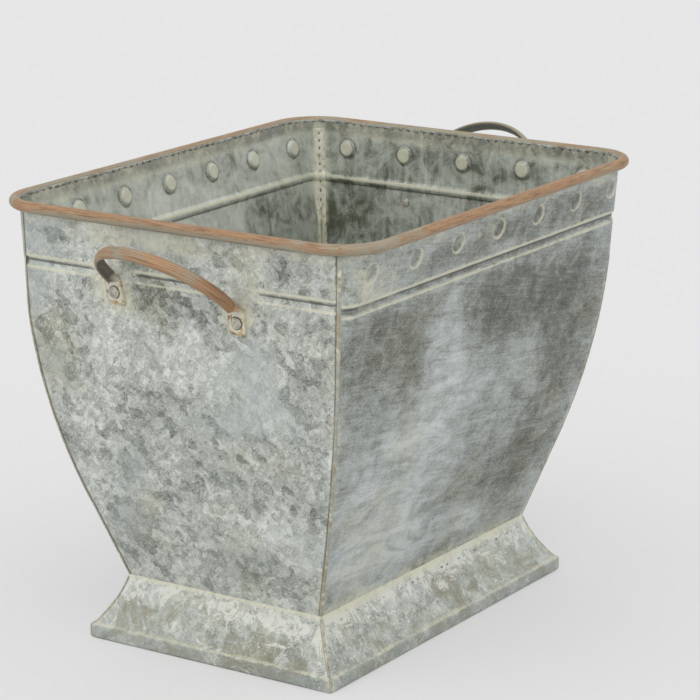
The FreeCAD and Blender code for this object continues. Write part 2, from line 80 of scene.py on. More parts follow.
# Stains and painted shade listed one by one on a wall: place along it and height, half length and half height in
# mm, slope in degrees, tone
STAINS_AND_SHADE = {
    "left": (
        (4, 260, 42, 11, -3, -0.65), (105, 220, 22, 15, 30, -0.8), (-112, 238, 24, 24, 0, -0.55),
        (-30, 228, 62, 26, -10, 0.35), (-20, 100, 60, 20, 0, 0.3), (66, 100, 36, 22, 0, 0.5),
        (52, 71, 60, 13, -4, -0.6), (-78, 84, 26, 22, 40, -0.4), (98, 142, 20, 34, 70, -0.4),
        (-95, 165, 26, 40, 80, 0.2), (-104, 297, 16, 10, 0, -0.5), (0, 296, 30, 10, 0, -0.25),
        (86, 292, 13, 11, 20, -0.55), (20, 185, 50, 12, -20, -0.3)),
    "right": (
        (30, 262, 50, 12, 4, -0.6), (-90, 214, 30, 18, -30, -0.6), (60, 200, 50, 26, 10, 0.4),
        (-20, 150, 60, 22, 0, 0.3), (70, 90, 50, 16, 5, -0.5), (-60, 80, 40, 18, 20, -0.4),
        (100, 160, 22, 40, 80, -0.3)),
    # The dark ovals at 84, 112 and 132 mm along the front wall are painted shade over its right part
    "front": (
        (-118, 234, 62, 34, -4, -0.75), (46, 238, 74, 32, -4, -0.85), (132, 205, 46, 56, 0, -0.75),
        (-45, 212, 28, 46, 12, 0.6), (-45, 165, 66, 16, -4, 0.4), (84, 106, 70, 36, 0, -0.65),
        (-80, 118, 62, 50, 0, 0.7), (-70, 76, 70, 28, 0, 1.0), (36, 70, 30, 12, 0, 0.85),
        (-60, 96, 60, 4, 0, -0.5), (10, 158, 30, 6, 0, -0.4), (112, 150, 40, 16, 10, -0.3),
        (40, 291, 52, 12, -4, -0.55), (122, 290, 44, 13, -6, -0.5), (-62, 288, 50, 11, 0, -0.45),
        (-155, 196, 16, 30, 0, -0.2), (-5, 52, 40, 6, 0, -0.4)),
    "back": (
        (100, 226, 64, 26, 6, -0.6), (-60, 216, 58, 28, 10, -0.8), (20, 196, 46, 18, 12, 0.7),
        (-100, 150, 60, 30, -14, 0.5), (60, 130, 66, 40, 20, -0.5), (-20, 100, 60, 16, 4, 0.4),
        (90, 74, 50, 12, 0, -0.5), (-70, 66, 36, 12, 0, 0.4)),
}
INSIDE_STAINS = {
    "left": ((-60, 250, 40, 24, 0, -0.6), (50, 240, 50, 30, 10, 0.3)),
    "right": (
        (0, 270, 130, 60, 0, -0.22), (98, 246, 34, 28, 70, -0.9), (30, 296, 30, 9, 0, -0.5),
        (-70, 302, 40, 9, 0, 0.5), (-20, 285, 34, 10, 0, -0.4), (10, 240, 40, 20, 0, 0.3)),
    "front": ((60, 250, 60, 24, 0, -0.5), (-70, 230, 60, 30, -8, 0.3)),
    "back": (
        (0, 270, 170, 60, 0, 0.2), (-115, 246, 36, 26, 0, -0.8), (70, 304, 60, 9, 0, -0.6),
        (-20, 300, 50, 8, 0, -0.4), (-40, 258, 50, 14, 4, 0.5), (20, 288, 36, 10, 0, 0.4),
        (-140, 296, 20, 14, 0, 0.4)),
}
FLOOR_STAINS = ((40, 10, 60, 40, 20, -0.5), (-60, -20, 40, 40, 0, 0.4))
# Cream patches of the wash, set the same way
CREAM = {
    "left": ((-10, 303, 84, 9, 0, 0.62), (57, 281, 18, 18, -40, 0.5), (-55, 268, 22, 16, 0, 0.45)),
    "right": ((-20, 299, 80, 11, 0, 0.5), (-70, 284, 26, 20, 40, 0.5)),
    "front": ((-150, 292, 40, 22, -10, 0.45), (-30, 300, 40, 8, 0, 0.35)),
    "back": ((150, 292, 40, 22, 10, 0.5), (20, 300, 50, 8, 0, 0.4)),
}
# Sections of the bars along the corners: share of the half width, height over the sheet, and a mark
SOLDER_TOP = ((-1, 0.08, 1), (-0.75, 0.6, 0.8), (-0.4, 0.92, 0.25), (0, 1.0, 0), (0.4, 0.92, 0), (0.75, 0.6, 0.1),
              (1, 0.08, 0.5))
SOLDER_UNDER = (0.9, 0.45, 0, -0.45, -0.9)
FILLER_TOP = ((1, 0.05, 0), (0.8, 0.8, 0), (0.35, 1.3, 0), (0.08, 0.9, 1), (-0.08, 0.9, 1), (-0.35, 1.3, 0),
              (-0.8, 0.8, 0), (-1, 0.05, 0))
FILLER_UNDER = (-0.9, -0.4, 0.4, 0.9)


def length(name, description, default):
    """A length property in metres."""
    return FloatProperty(name=name, description=description, default=default, unit="LENGTH", subtype="DISTANCE",
                         precision=4)


def angle(name, description, degrees):
    """An angle property."""
    return FloatProperty(name=name, description=description, default=math.radians(degrees), subtype="ANGLE")


def colour(name, description, red, green, blue):
    """A colour property from the three shares that a screen shows, 0 to 255."""
    shares = []
    for level in (red, green, blue):
        share = level / 255
        shares.append(share / 12.92 if share <= 0.04045 else ((share + 0.055) / 1.055) ** 2.4)
    return FloatVectorProperty(name=name, description=description, default=shares, subtype="COLOR", min=0, max=1)


class PlanterSizes(bpy.types.PropertyGroup):
    """Sizes of the planter's sheet work."""

    sheet: length("Sheet", "Thickness of the zinc sheet", 0.8 * MM)
    wire: length("Wire radius", "Radius of the wire inside the rim", WIRE_RADIUS)
    roll_gap: length("Roll gap", "Room between the wire and the sheet rolled round it", 0.14 * MM)
    rim_height: length("Rim height", "Height of the rim's wire", (WIRE_LOW.z + WIRE_HIGH.z) / 2)
    rim_half_x: length("Half rim length", "From the middle to the wire of an end", WIRE_HIGH.x - WIRE_RADIUS)
    rim_half_y: length("Half rim width", "From the middle to the wire of a long side", WIRE_HIGH.y - WIRE_RADIUS)
    rim_corner: length("Rim corner", "Radius of the wire's round corners", 34.0 * MM)
    shoulder_drop: length("Shoulder drop", "From the rim down to the shoulder", 76.0 * MM)
    end_inset: length("End inset", "How far an end leans in over the shoulder", 4.5 * MM)
    long_inset: length("Long inset", "How far a long side leans in over the shoulder", 17.0 * MM)
    shoulder_corner: length("Shoulder corner", "Radius of the corners at the shoulder", 1.0 * MM)
    belly_height: length("Belly end", "Height at which the belly curve ends", 95.0 * MM)
    belly_inset: length("Belly inset", "How far the wall has come in where the belly ends", 29.2 * MM)
    belly_bulge: length("Belly bulge", "How far the belly stands out of a straight taper", 4.7 * MM)
    waist_height: length("Waist height", "Height of the crease over the foot", 45.5 * MM)
    waist_inset: length("Waist inset", "How far the wall has come in at the waist", 44.7 * MM)
    long_lean: FloatProperty(name="Long lean", description="Share by which a long side comes in more than an end",
                             default=1.035)
    bottom_flange: length("Bottom flange", "Width of the flange under the floor", 8.0 * MM)
    seam_flange: length("Seam flange", "Width of the flanges along the corners", 8.0 * MM)
    dimple_drop: length("Dimple drop", "From the rim down to the dimples", 19.0 * MM)
    dimple_radius: length("Dimple radius", "Radius of a pressed dimple", 7.0 * MM)
    dimple_floor: length("Dimple floor", "Radius of a dimple's flat floor", 5.2 * MM)
    dimple_depth: length("Dimple depth", "Depth of a dimple", 2.2 * MM)
    dimple_pitch: length("Dimple pitch", "From one dimple to the next", 52.5 * MM)
    bead_drop: length("Bead drop", "From the rim down to the bead", 42.5 * MM)
    left_bead_drop: length("Left bead drop", "From the rim down to the left end's bead", 39.0 * MM)
    bead_width: length("Bead width", "Width of the pressed bead", 7.0 * MM)
    bead_depth: length("Bead depth", "Depth of the pressed bead", 1.8 * MM)
    bead_foot_gap: length("Bead gap", "Plain stretch beside a handle's foot", 18.0 * MM)
    foot_half_x: length("Half foot length", "From the middle to the foot's edge at an end", FOOT_END.x)
    foot_half_y: length("Half foot width", "From the middle to the foot's edge at a long side", FOOT_LONG.y)
    foot_edge: length("Foot edge", "Height of the foot's upright edge", 11.0 * MM)
    foot_edge_round: length("Foot edge round", "Rounding over the foot's edge", 2.0 * MM)
    foot_tuck: length("Foot tuck", "Rounding of the edge turned under", 2.0 * MM)
    foot_nose: length("Foot nose", "How far the foot's corners are rounded off", 0.6 * MM)
    cove_sag: length("Cove sag", "Hollow of the foot's cove", 2.3 * MM)
    foot_flange: length("Foot flange", "Width of the edge turned under the foot", 8.0 * MM)
    foot_top_flange: length("Foot top flange", "Width of the flange between foot and body", 10.0 * MM)
    solder_width: length("Solder width", "Width of the solder lines", 3.2 * MM)
    solder_height: length("Solder height", "Height of the solder lines over the sheet", 0.45 * MM)
    unevenness: length("Unevenness", "How far the hand-worked sheet waves in and out", 0.45 * MM)


class PlanterHandles(bpy.types.PropertyGroup):
    """Sizes of the handles and their rivets."""

    drop: length("Drop", "From the rim down to the handles' feet", 55.0 * MM)
    span: length("Span", "From one rivet of a handle to the other", 101.0 * MM)
    strap_width: length("Strap width", "Width of the half-round strap", 9.0 * MM)
    strap_height: length("Strap height", "Height of the half-round strap", 3.2 * MM)
    strap_sheet: length("Strap sheet", "Thickness of the strap's sheet", 1.4 * MM)
    tab_width: length("Tab width", "Width of the flattened feet", 14.0 * MM)
    tab_height: length("Tab height", "Height of the flattened feet", 17.0 * MM)
    tab_thickness: length("Tab thickness", "Thickness of the flattened feet", 1.5 * MM)
    neck: length("Neck", "Stretch from a foot to the full strap", 8.0 * MM)
    left_reach: length("Left reach", "From the feet to the left bow's top", 64.0 * MM)
    right_reach: length("Right reach", "From the feet to the right bow's top", 71.5 * MM)
    left_rise: angle("Left rise", "How steeply the left bow stands up", 42.0)
    right_rise: angle("Right rise", "How steeply the right bow stands up", 49.5)
    left_slant: angle("Left slant", "Turn of the left handle on its wall", -4.5)
    right_slant: angle("Right slant", "Turn of the right handle on its wall", 0.0)
    shank: length("Shank radius", "Radius of the rivets' shanks", 2.2 * MM)
    head: length("Head radius", "Radius of the rivets' heads", 4.6 * MM)
    head_height: length("Head height", "Height of the rivets' heads", 2.0 * MM)
    tail: length("Tail radius", "Radius of the rivets' tails", 3.4 * MM)
    tail_height: length("Tail height", "Height of the rivets' tails", 1.0 * MM)


class PlanterColours(bpy.types.PropertyGroup):
    """Colours of the planter's finishes and of the stage."""

    zinc_deep: colour("Zinc deep", "Darkest flakes of the galvanised sheet", 74, 78, 72)
    zinc_dark: colour("Zinc dark", "Dark flakes of the galvanised sheet", 122, 127, 120)
    zinc_mid: colour("Zinc middle", "Middle tone of the galvanised sheet", 172, 176, 169)
    zinc_light: colour("Zinc light", "Light flakes of the galvanised sheet", 203, 207, 201)
    zinc_bright: colour("Zinc bright", "Brightest flecks of the galvanised sheet", 228, 230, 224)
    brushed_deep: colour("Brushed deep", "Soot left on the brushed long sides", 66, 68, 60)
    brushed_dark: colour("Brushed dark", "Dark clouds of the brushed long sides", 110, 113, 104)
    brushed_mid: colour("Brushed middle", "Middle tone of the brushed long sides", 154, 159, 154)
    brushed_light: colour("Brushed light", "Bluish worn zinc of the brushed long sides", 178, 185, 184)
    brushed_bright: colour("Brushed bright", "Bright scratches of the brushed long sides", 206, 211, 208)
    inside_deep: colour("Inside deep", "Dark moss of the inside", 92, 94, 80)
    inside_mid: colour("Inside middle", "Mottled grey-green of the inside", 176, 181, 171)
    inside_light: colour("Inside light", "Rubbed spots of the inside", 210, 212, 203)
    # Grime and shade: dirt along the seams, and painted shade under the rim and its roll, in the bead's groove and
    # the dimples, round the bosses inside, under the inside bead and along the foot's bottom edge
    grime: colour("Grime", "Dirt kept in grooves and along seams", 66, 63, 54)
    # Also used for painted highlights: the crest of the foot's edge and the band along the waist crease
    wash: colour("Wash", "Pale lime wash left in hollows", 214, 212, 190)
    lime: colour("Lime", "White lime on the foot", 222, 222, 213)
    olive: colour("Olive", "Olive-brown stains of the foot", 134, 130, 106)
    ochre: colour("Ochre", "Ochre and rust stains", 166, 134, 84)
    tan: colour("Tan", "Warm film over the sheet", 232, 222, 188)
    copper: colour("Copper", "Copper brown patina of rim and handles", 160, 124, 91)
    copper_light: colour("Copper light", "Rubbed copper of rim and handles", 184, 147, 112)
    copper_dark: colour("Copper dark", "Dark brown patina of rim and handles", 110, 86, 65)
    copper_worn: colour("Copper worn", "Grey-green where the patina has worn off", 152, 149, 131)
    hollow: colour("Hollow", "Blue-grey inside of the strap", 92, 100, 98)
    solder: colour("Solder", "Tan tarnish of the solder lines", 156, 152, 136)
    rivet: colour("Rivet", "Pinkish grey of the rivet heads", 172, 168, 158)
    floor: colour("Floor", "Pale floor and background", 229, 229, 229)


# Outlines


def rise(value, low, high):
    """Smooth step from 0 at low to 1 at high."""
    t = np.clip((value - low) / (high - low), 0, 1)
    return t * t * (3 - 2 * t)


def fade(value, low, high):
    """Smooth step from 1 at low to 0 at high."""
    return 1 - rise(value, low, high)


def band(value, start, full, still, end):
    """Smooth step up between the first two places and down between the last two."""
    return rise(value, start, full) * fade(value, still, end)


def waves(a, b, seed, longest, shortest, count):
    """Gentle unevenness of hand-worked sheet: a sum of waves of mixed lengths and directions."""
    rng = np.random.default_rng(seed)
    total = np.zeros(np.broadcast(a, b).shape)
    for _ in range(count):
        turn, phase = rng.uniform(0, 2 * math.pi, 2)
        size = longest * (shortest / longest) ** rng.random()
        total += size / longest * np.sin((a * math.cos(turn) + b * math.sin(turn)) * 2 * math.pi / size + phase)
    return total / math.sqrt(count)


def soft_ovals(run, z, places):
    """Sum of soft ovals, light above 0 and dark below: stains, cream patches and painted shade."""
    total = np.zeros(np.broadcast(run, z).shape)
    for along, height, half, tall, slope, tone in places:
        c, s = math.cos(math.radians(slope)), math.sin(math.radians(slope))
        a, b = run / MM - along, z / MM - height
        total += tone * fade(np.hypot((a * c + b * s) / half, (b * c - a * s) / tall), 0.35, 1.45)
    return np.clip(total, -1, 1)


def turned(points, degrees):
    """Points turned about the upright middle line."""
    c, s = math.cos(math.radians(degrees)), math.sin(math.radians(degrees))
    return np.stack([points[:, 0] * c - points[:, 1] * s, points[:, 0] * s + points[:, 1] * c, points[:, 2]], -1)


def circle_through(first, middle, last):
    """Centre and radius of the circle through three points."""
    ax, ay = middle[0] - first[0], middle[1] - first[1]
    bx, by = last[0] - first[0], last[1] - first[1]
    twice = 2 * (ax * by - ay * bx)
    a2 = ax * ax + ay * ay
    b2 = bx * bx + by * by
    cx = (by * a2 - ay * b2) / twice
    cy = (ax * b2 - bx * a2) / twice
    return (first[0] + cx, first[1] + cy), math.hypot(cx, cy)


def seam_turn(sizes, side):
    """Angle from a side's normal round the corner arc to the seam."""
    share = sizes.end_inset / sizes.long_inset
    turn = math.acos((1 - share) / math.hypot(1, share)) - math.atan(share)
    return turn if side == "end" else math.pi / 2 - turn


def belly_insets(sizes, heights):
    """How far the walls have come in below the shoulder, at each height."""
    shoulder = sizes.rim_height - sizes.shoulder_drop
    middle = (sizes.belly_inset / 2 - sizes.belly_bulge, (shoulder + sizes.belly_height) / 2)
    centre, radius = circle_through((0, shoulder), middle, (sizes.belly_inset, sizes.belly_height))
    offset = np.clip(heights, sizes.belly_height, shoulder) - centre[1]
    curve = centre[0] - np.sqrt(radius * radius - offset * offset)
    taper = np.clip((sizes.belly_height - heights) / (sizes.belly_height - sizes.waist_height), 0, 1)
    return curve + (sizes.waist_inset - sizes.belly_inset) * taper


def side_outline(sizes, side, heights):
    """Reach of a side, its half length to the corners and its corner radius, at each height."""
    roll = sizes.wire + sizes.roll_gap
    top_radius = sizes.rim_corner - roll
    share = np.clip((sizes.rim_height - heights) / sizes.shoulder_drop, 0, 1)
    inset = belly_insets(sizes, heights)
    half_x = sizes.rim_half_x - roll - sizes.end_inset * share - inset
    half_y = sizes.rim_half_y - roll - sizes.long_inset * share - inset * sizes.long_lean
    radius = top_radius + (sizes.shoulder_corner - top_radius) * share
    return (half_x, half_y, radius) if side == "end" else (half_y, half_x, radius)


def arc_spots(reach, flat, radius, run):
    """Way out, way along and turn of the normal at runs along a side that ends in an arc."""
    bend = np.clip((run - flat) / radius, 0, None)
    return reach - radius + radius * np.cos(bend), np.where(run > flat, flat + radius * np.sin(bend), run), bend


def side_spots(reach, span, radius, turn, shares):
    """Places along a side that faces +X, as shares of its half length from its middle to its seams.

    Gives the way out, the way along, the turn of the normal and the distance along the sheet.
    """
    reach, span, radius = (np.asarray(v)[:, None] for v in (reach, span, radius))
    flat = span - radius
    run = (flat + radius * turn) * np.abs(shares)[None, :]
    out, along, bend = arc_spots(reach, flat, radius, run)
    sign = np.sign(shares)[None, :]
    return out, along * sign, bend * sign, run * sign


# Meshes


def new_piece(name, mesh):
    """Puts a mesh into the scene as an object."""
    piece = bpy.data.objects.new(name, mesh)
    bpy.context.scene.collection.objects.link(piece)
    return piece


class SheetWork:
    """Collects closed sheets and bars into one mesh, with the marks that the finishes read."""

    def __init__(self):
        self.points = []
        self.faces = []
        self.kinds = []
        self.marks = {}
        self.count = 0

    def add_points(self, points, marks):
        """Adds rows of points with their marks and gives the points' numbers in the same rows."""
        first, flat = self.count, points.reshape(-1, 3)
        self.points.append(flat)
        self.count += len(flat)
        for name, values in marks.items():
            self.marks.setdefault(name, []).append((first, np.broadcast_to(values, points.shape[:-1]).ravel()))
        return first + np.arange(len(flat)).reshape(points.shape[:-1])

    def add_quads(self, corners, kinds=0):
        """Adds four-sided faces of one kind, or of a kind each, from four blocks of points' numbers."""
        quads = np.stack(corners, -1).reshape(-1, 4).tolist()
        self.faces += quads
        self.kinds += np.broadcast_to(kinds, len(quads)).tolist()

    def add_sheet(self, outer, inner, kinds=None, **marks):
        """A closed sheet between two skins of rows and columns, with each mark's values on both skins."""
        rows, columns = outer.shape[:2]
        both = {name: np.stack([np.broadcast_to(v, (rows, columns)) for v in pair]) for name, pair in marks.items()}
        a, b = self.add_points(np.stack([outer, inner]), both)
        kinds = np.zeros(rows - 1, int) if kinds is None else kinds
        flat = np.repeat(kinds, columns - 1)
        self.add_quads([a[:-1, :-1], a[:-1, 1:], a[1:, 1:], a[1:, :-1]], flat)
        self.add_quads([b[:-1, :-1], b[1:, :-1], b[1:, 1:], b[:-1, 1:]], flat)
        self.add_quads([a[0, 1:], a[0, :-1], b[0, :-1], b[0, 1:]], kinds[0])
        self.add_quads([a[-1, :-1], a[-1, 1:], b[-1, 1:], b[-1, :-1]], kinds[-1])
        self.add_quads([a[:-1, 0], a[1:, 0], b[1:, 0], b[:-1, 0]], kinds)
        self.add_quads([a[1:, -1], a[:-1, -1], b[:-1, -1], b[1:, -1]], kinds)

    def add_tube(self, rings, **marks):
        """A closed bar through rings of points, with its two ends filled by strips of faces."""
        a = self.add_points(rings, marks)
        b = np.roll(a, -1, 1)
        self.add_quads([a[:-1], b[:-1], b[1:], a[1:]])
        half = rings.shape[1] // 2
        for ring, way in ((a[0].tolist(), -1), (a[-1].tolist(), 1)):
            low = ring[:half + 1]
            high = (ring[half:] + ring[:1])[::-1]
            for i in range(min(len(low), len(high)) - 1):
                corners = [low[i], low[i + 1], high[i + 1], high[i]]
                if len(set(corners)) > 2:
                    self.faces.append(list(dict.fromkeys(corners[::way])))
                    self.kinds.append(0)

    def build(self, name, materials, turn=0.0, scale=(1, 1), sharp=SHEET_SHARP):
        """Makes the object with its finishes, turned about the upright middle line or mirrored by scale."""
        points = turned(np.concatenate(self.points), turn) * (*scale, 1)
        faces = [face[::-1] for face in self.faces] if scale[0] * scale[1] < 0 else self.faces
        mesh = bpy.data.meshes.new(name)
        mesh.from_pydata(points.tolist(), [], faces)
        for material in materials:
            mesh.materials.append(material)
        mesh.polygons.foreach_set("material_index", self.kinds)
        mesh.polygons.foreach_set("use_smooth", [True] * len(faces))
        mesh.set_sharp_from_angle(angle=math.radians(sharp))
        for mark, blocks in self.marks.items():
            values = np.zeros(len(points), np.float32)
            for first, block in blocks:
                values[first:first + len(block)] = block
            mesh.attributes.new(mark, "FLOAT", "POINT").data.foreach_set("value", values)
        mesh.validate()
        mesh.update()
        return new_piece(name, mesh)


def finish_piece(piece, node):
    """Lets a piece ride on the planter's body and stand for its node."""
    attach(piece, "root")
    if node:
        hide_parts(node)


# Walls


def wall_heights(sizes, bead):
    """Heights of a wall's rows, close together at the bead and the dimples."""
    rim = sizes.rim_height
    dimple = rim - sizes.dimple_drop
    stops = [(sizes.waist_height + 3 * MM, 4.0), (rim - sizes.shoulder_drop - 12 * MM, 2.5), (bead - 6 * MM, 0.7),
             (bead + 6 * MM, 2.0), (dimple - 9 * MM, 0.85), (dimple + 9 * MM, 1.6), (rim, 1)]
    rows = []
    for (low, step), (high, _) in zip(stops[:-1], stops[1:]):
        count = max(2, int(math.ceil((high - low) / (step * MM))))
        rows.append(np.linspace(low, high, count, endpoint=False))
    return np.concatenate(rows + [np.array([rim])])


def wall_shares(flat, run, places, near):
    """Shares along a wall's half length, close together at the dimples and at the corners."""
    widest, closest = 4.5 * MM, 0.35 * MM
    spots = [-run, run, *np.linspace(-run, -flat, 14), *np.linspace(flat, run, 14)]
    for place in places:
        spots.extend(place + np.linspace(-near, near, 23))
    spots.sort()
    filled = []
    for a, b in zip(spots[:-1], spots[1:]):
        filled.extend(np.linspace(a, b, max(1, int(math.ceil((b - a) / widest))), endpoint=False))
    kept = [filled[0]]
    for spot in filled[1:] + [run]:
        if spot - kept[-1] > closest:
            kept.append(spot)
    kept[-1] = run
    return np.array(kept) / run


def dimple_places(sizes, side):
    """Places of a wall's dimples along the wall."""
    _, span, radius = side_outline(sizes, side, sizes.rim_height - sizes.dimple_drop)
    spaces = int(2 * (span - radius) / sizes.dimple_pitch)
    return [(number - spaces / 2) * sizes.dimple_pitch for number in range(spaces + 1)]


def bead_trough(sizes, across):
    """Depth of the pressed bead at a distance across it."""
    half = sizes.bead_width / 2
    curve = (half * half + sizes.bead_depth ** 2) / (2 * sizes.bead_depth)
    trough = np.sqrt(np.clip(curve * curve - across * across, 0, None)) - curve + sizes.bead_depth
    return np.clip(trough, 0, None) * (1 - 0.35 * rise(np.abs(across), half - 1.2 * MM, half))


def bead_end(to_seam):
    """Share of the bead's depth near a seam, where it runs out."""
    return rise(to_seam, 0.2 * MM, 1.2 * MM)


def bead_window(sizes, handles, broken, run, total):
    """Where along a wall the bead is pressed: 0 to 1, fading out at the handle's feet where it is broken."""
    run = np.abs(run)
    ends = bead_end(total - run)
    if not broken:
        return ends
    inner = handles.span / 2 - sizes.bead_foot_gap
    outer = handles.span / 2 + sizes.bead_foot_gap
    return ends * np.maximum(fade(run, inner - 3 * MM, inner + 3 * MM), rise(run, outer - 4 * MM, outer + 2 * MM))


def wall_marks(sizes, handles, name, side, run, z, total, ring, across, dent, window):
    """Pale wash with some painted highlight, painted shade with dark seam lines, and stains with some painted
    shade, on the outer and the inner skin of a wall, measured in mm.
    """
    end = side == "end"
    pressed = np.clip(window * 1.2, 0, 1)
    shade = (soft_ovals(run, z, STAINS_AND_SHADE[name]), soft_ovals(run, z, INSIDE_STAINS[name]))
    cream = soft_ovals(run, z, CREAM[name])
    ring, across, to_seam = ring / MM, across / MM, (total - np.abs(run)) / MM
    under_rim, over_waist = (sizes.rim_height - z) / MM, (z - sizes.waist_height) / MM
    edge, floor, half = sizes.dimple_radius / MM, sizes.dimple_floor / MM, sizes.bead_width / 2 / MM
    feet_wash = np.zeros_like(z)
    if end:
        foot, up = handles.span / 2 / MM, handles.drop / MM - under_rim
        for place in (-1, 1):
            at_foot = fade(np.hypot((run / MM - place * foot) / 1.1, up - 2), 7, 20)
            over_foot = fade(np.hypot((run / MM - place * (foot + 5)) / 1.4, up - 22), 6, 22)
            feet_wash = np.maximum.reduce([feet_wash, at_foot, 0.6 * over_foot])
    rim_wash = fade(under_rim, 6, 17)
    # Pale wash: rings round the dimples, lines along both edges of the bead, a band at the waist, under the rim, by
    # the seams, round the handle's feet and the cream patches. The lines along the bead's edges and the band at the
    # waist are partly painted highlights.
    outside_wash = np.maximum.reduce([
        (0.5 if end else 1.0) * band(ring, edge - 1.3, edge - 0.2, edge + 0.2, edge + 1.3),
        band(across, half - 1.0, half - 0.1, half + 0.5, half + 3.2) * pressed,
        0.85 * band(-across, half - 1.3, half - 0.2, half + 0.2, half + 2.0) * pressed,
        0.6 * fade(over_waist, -2, 6) if end else 0.75 * fade(over_waist, -2, 11),
        0.5 * rim_wash, 0.4 * fade(to_seam, 2, 9), 0.75 * feet_wash, cream])
    inside_wash = np.maximum.reduce([
        fade(ring, floor - 0.6, floor + 0.9), 0.95 * fade(np.abs(across - 0.8), 0.8, 2.1) * pressed,
        0.7 * fade(to_seam, 4, 9), 0.45 * rim_wash])
    # Painted shade: a dark line in the bead's groove with a wider darkening over its trough, a dark line right
    # under the rim and darker dimple floors; also a dark line along the seams
    outside_dark = np.maximum.reduce([
        0.8 * fade(np.abs(across - 1.2), 0.3, 1.3) * window,
        (0.25 if end else 0.46) * fade(np.abs(across - 0.3), 1.6, 3.2) * window,
        0.95 * fade(under_rim, 3.6, 5.2), (0.8 if end else 0.28) * fade(to_seam, 1.9, 3.2), 0.36 * dent * dent])
    # Painted shade: dark rings round the bosses, darkening down from under the rim and a dark line under the inside
    # bead
    inside_dark = np.maximum.reduce([
        0.5 * band(ring, floor + 0.6, edge, edge + 0.6, edge + 3.4), 0.6 * fade(under_rim, 4, 14),
        0.6 * band(-across, half - 1.5, half - 0.2, half, half + 2.0) * pressed])
    return {"wash": (outside_wash, inside_wash), "grime": (outside_dark, inside_dark), "shade": shade}


def wall_panel(sizes, handles, name, side, seed):
    """One wall facing +X: flange, belly, shoulder with dimples and bead, and the rolled rim."""
    rim, low = sizes.rim_height, sizes.waist_height
    broken = name == "left"
    bead = rim - (sizes.left_bead_drop if broken else sizes.bead_drop)
    dimple = rim - sizes.dimple_drop
    turn = seam_turn(sizes, side)
    heights = wall_heights(sizes, bead)
    reach, span, radius = side_outline(sizes, side, heights)
    at = int(np.argmin(np.abs(heights - dimple)))
    flat = span[at] - radius[at]
    places = dimple_places(sizes, side)
    shares = wall_shares(flat, flat + radius[at] * turn, places, sizes.dimple_radius + 2.6 * MM)
    out, along, bend, run = side_spots(reach, span, radius, turn, shares)
    total = (span - radius + radius * turn)[:, None]
    z = np.broadcast_to(heights[:, None], out.shape)
    slope = np.arctan(np.gradient(reach, heights))[:, None]
    normal = np.stack([np.cos(bend) * np.cos(slope), np.sin(bend) * np.cos(slope),
                       -np.sin(slope) * np.ones_like(bend)], -1)

    # Pressed forms
    up_wall = (z - dimple) / np.cos(slope)
    ring = np.minimum.reduce([np.hypot(run - place, up_wall) for place in places])
    dent = fade(ring, sizes.dimple_floor - 0.3 * MM, sizes.dimple_radius + 0.4 * MM)
    across = (z - bead) / np.cos(slope)
    window = bead_window(sizes, handles, broken, run, total)

    # Hand-worked unevenness, still at the seams, the rim, the waist and the pressed forms
    calm = rise(total - np.abs(run), 4 * MM, 26 * MM) * rise(z, low + 4 * MM, low + 40 * MM)
    calm = calm * (1 - 0.75 * rise(z, bead - 30 * MM, bead - 6 * MM))
    uneven = waves(run, z, seed, 120 * MM, 18 * MM, 26) * sizes.unevenness * calm
    press = uneven - dent * sizes.dimple_depth - bead_trough(sizes, across) * window
    outer = np.stack([out, along, z], -1) + normal * press[..., None]
    inner = outer - normal * sizes.sheet
    plan = np.stack([np.cos(bend[-1]), np.sin(bend[-1]), np.zeros_like(bend[-1])], -1)
    inner[-1] = outer[-1] - plan * sizes.sheet

    # Flange under the floor
    waist_reach, waist_span, _ = side_outline(sizes, side, low)
    cross = 1 / sizes.long_lean if side == "long" else sizes.long_lean

    def level_rows(height, *shifts):
        return np.stack([np.stack([np.full_like(shares, waist_reach - shift), (waist_span - shift * cross) * shares,
                                   np.full_like(shares, height)], -1) for shift in shifts])

    # Rolled edge
    wire_room = sizes.wire + sizes.roll_gap
    angles = np.radians(np.linspace(ROLL_START, ROLL_END, ROLL_ROWS))
    base = np.stack([out[-1], along[-1], z[-1]], -1)

    def roll_rows(r):
        sideways = (wire_room + r * np.cos(angles))[:, None, None] * plan[None]
        upward = (r * np.sin(angles))[:, None, None] * np.array([0, 0, 1.0])
        return base[None] + sideways + upward

    skin = np.concatenate([level_rows(low, sizes.bottom_flange, 0), outer, roll_rows(wire_room)])
    back = np.concatenate([level_rows(low + sizes.sheet, sizes.bottom_flange, sizes.sheet), inner,
                           roll_rows(wire_room + sizes.sheet)])
    top_row = FLANGE_ROWS + len(outer)
    kinds = np.zeros(len(skin) - 1, int)
    kinds[top_row + 1:] = 1

    def spread(values, top=0.0):
        full = np.zeros(skin.shape[:2])
        full[FLANGE_ROWS:top_row] = values
        full[:FLANGE_ROWS] = full[FLANGE_ROWS]
        full[top_row:] = top
        return full

    deeper = 1 + (0.25 * rise(total[-1] - np.abs(run[-1]), 5 * MM, 40 * MM) if side == "end" else 0 * shares)
    rolled = spread(0, np.linspace(0.04, 1, len(angles))[:, None] * deeper)
    distance = spread(run, run[-1])
    bare = 0.0 if name in ("left", "front") else 0.1
    marks = wall_marks(sizes, handles, name, side, run, z, total, ring, across, dent, window)
    # On the inner skin the rolled rows carry painted shade, which darkens the inside just under the rim
    marks = {mark: (spread(outside), spread(inside, 0.45 if mark == "grime" else 0.0))
             for mark, (outside, inside) in marks.items()}
    work = SheetWork()
    work.add_sheet(skin, back, kinds, **marks, inside=(0.0, 1.0), rolled=(rolled, rolled),
                   distance=(distance, distance), bare=(bare, bare))
    seam_flanges(work, sizes, side)
    return work


